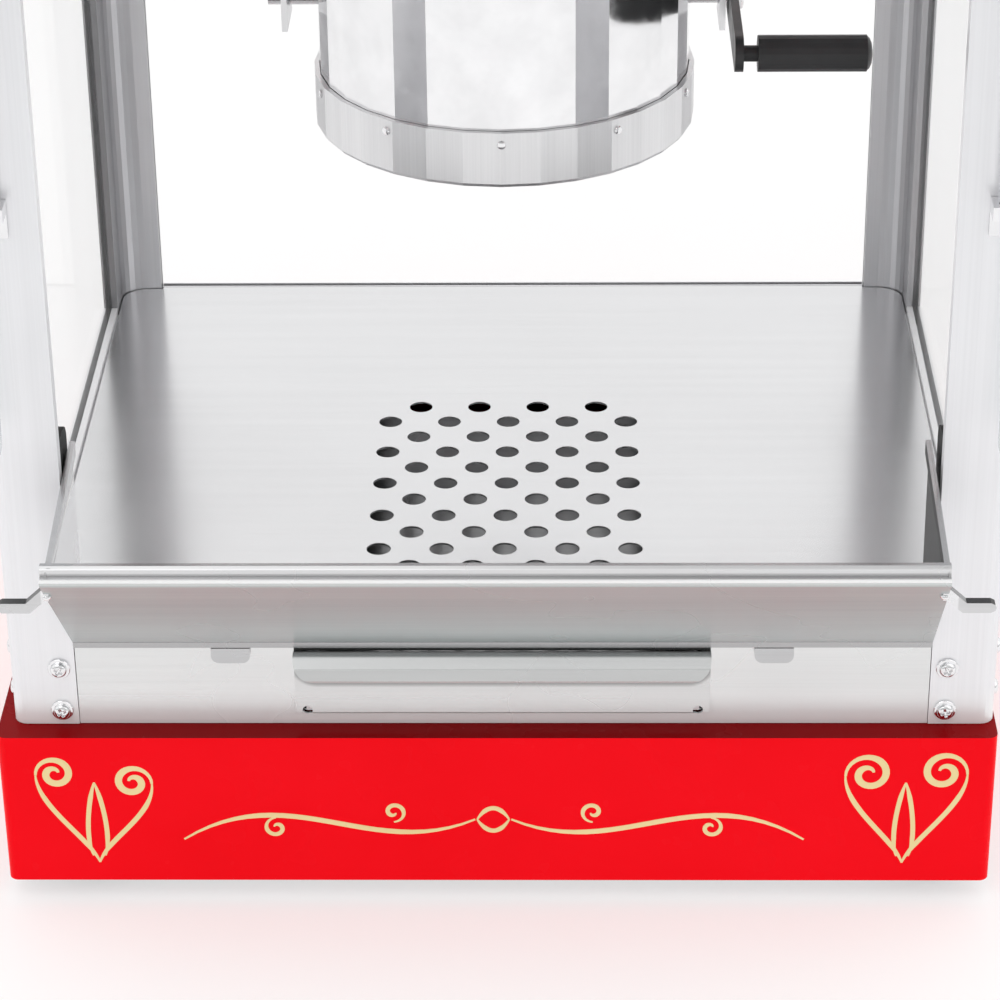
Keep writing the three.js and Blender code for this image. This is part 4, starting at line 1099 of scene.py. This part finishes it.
def louvre_bank(name, put, columns, rows, top, pitch=11.0, spread=58.0):
    """Louvres in columns and rows, and black strips as painted shade in the openings under them."""
    brows = []
    shade_strips = []
    for column in range(columns):
        for row in range(rows):
            across = (column - (columns - 1) / 2) * spread
            spot = shifted(put, across, top - row * pitch)
            brows.append(louvre(spot))
            shade_strips.append(slot_shade_strip(shifted(spot, 0, -6.1)))
    mesh_piece(f"{name}_louvres", brows, RED, "cabinet")
    mesh_piece(f"{name}_louvre_shade_strips", shade_strips, PLASTIC, "cabinet")


louvre_bank("hood_back", shifted(hood_back, 60, 0), 4, 6, 570)
louvre_bank("base_back", base_back, 5, 4, -20)

CASE_SCREW = 0.62                       # sizes, as shares of the front screws' size
PANEL_SCREW = 0.5
SWITCH_FACE = 1.8                       # how far the switch panel stands out of the hood
switch_panel = plane(at(0, hood_low.y - SWITCH_FACE, 505), FACING["front"])
screw_row("hood_back_screws", hood_back, [(u, v) for v in (580, 455) for u in (-215, 215)], scale=CASE_SCREW)
screw_row("base_back_screws", base_back, [(u, v) for u in (-225, 225) for v in (-12, -72)], scale=CASE_SCREW)
screw_row("switch_panel_screws", switch_panel, [(u, v) for u in (-74, 74) for v in (-26, 26)],
          scale=PANEL_SCREW)
POST_SCREWS = (("post_side_screws", front_post_high.x, 22), ("rear_post_screws", rear_post_high.x, 394))
for name, half, depth in POST_SCREWS:
    for side, sign in SIDES:
        post_side = plane(at(sign * half, depth, 0), FACING[side])
        screw_row(f"{side}_{name}", post_side, [(0, z) for z in SCREW_HEIGHTS.values()], washer=True)


# ---------------------------------------------------------------- welds where the ears meet the trough
WELD_SEED = 3
WELD_RADII = (2.4, 1.6, 1.5)


def weld_bead(centre):
    """A small uneven bead; it draws from its own seed, so both sides are alike."""
    wobble = random.Random(WELD_SEED)
    shape = bmesh.new()
    bmesh.ops.create_icosphere(shape, subdivisions=3, radius=1)
    vertices = []
    for vertex in shape.verts:
        swell = 1 + wobble.uniform(-0.06, 0.06)
        reach = [part * radius * MM * swell for part, radius in zip(vertex.co, WELD_RADII)]
        vertices.append(centre + Vector(reach))
    faces = [tuple(vertex.index for vertex in face.verts) for face in shape.faces]
    shape.free()
    return vertices, faces


for side, x in (("left", -210.4), ("right", 206.9)):
    mesh_piece(f"{side}_ear_weld", [weld_bead(at(x, -60.2, 108.6))], CHROME, "front_trough")


# ---------------------------------------------------------------- kettle details
KETTLE_Y = 220
KETTLE_Z = 300
CASE_RADIUS = 97.7
RIVET_COUNT = 10
RIVET_RADIUS = 2.2
RIVET_OUT = 1.1
NUT_X = 118
GRIP_END_X = 178
GRIP_ARM = 84


def rivet_ring(height):
    """Round-headed rivets round the heater case's upright wall."""
    profile = [(RIVET_RADIUS * 0.5, RIVET_OUT), (RIVET_RADIUS * 0.85, RIVET_OUT * 0.8),
               (RIVET_RADIUS, RIVET_OUT * 0.4), (RIVET_RADIUS, -0.3)]
    parts = []
    for index in range(RIVET_COUNT):
        angle = 2 * math.pi * (index + 0.5) / RIVET_COUNT
        out = Vector((math.cos(angle), math.sin(angle), 0))
        spot = at(CASE_RADIUS * out.x, KETTLE_Y + CASE_RADIUS * out.y, height)
        parts.append(spun(plane(spot, Vector(UPWARD).cross(out)), profile, 20))
    return parts


mesh_piece("kettle_case_rivets", rivet_ring(258), CHROME, "kettle")

handle_front = plane(at(NUT_X, KETTLE_Y, KETTLE_Z), FACING["right"])
hex_nut = spun(handle_front, [(1.5, 4.6), (4.6, 4.4), (7.6, 3.6), (8.4, 2.2), (8.4, 0.02)], 6)
mesh_piece("handle_nut", [hex_nut], CHROME, "kettle")

grip_end = plane(at(GRIP_END_X, KETTLE_Y - GRIP_ARM, KETTLE_Z), FACING["right"])
end_cap = spun(grip_end, [(2.0, 2.8), (5.2, 2.3), (7.4, 1.3), (8.6, 0.02)], 32)
mesh_piece("handle_cap", [end_cap], PLASTIC, "kettle")

# ---------------------------------------------------------------- pilot lights over the rockers
SWITCH_PITCH = 46
PILOT_UP = 23.5
RING = [(2.2, 0.7), (3.1, 1.3), (3.8, 1.2), (4.1, 0.6), (4.1, 0.02)]
LENS_DOME = [(0.8, 2.3), (1.6, 2.0), (2.3, 1.4), (2.6, 0.5), (2.6, 0.03)]
for name, place in (("heat", -1), ("motor", 0), ("light", 1)):
    put = shifted(switch_panel, place * SWITCH_PITCH, PILOT_UP)
    mesh_piece(f"{name}_pilot_ring", [spun(put, RING, 32)], CHROME, "cabinet")
    mesh_piece(f"{name}_pilot_lens", [spun(put, LENS_DOME, 32)], RED, "cabinet")
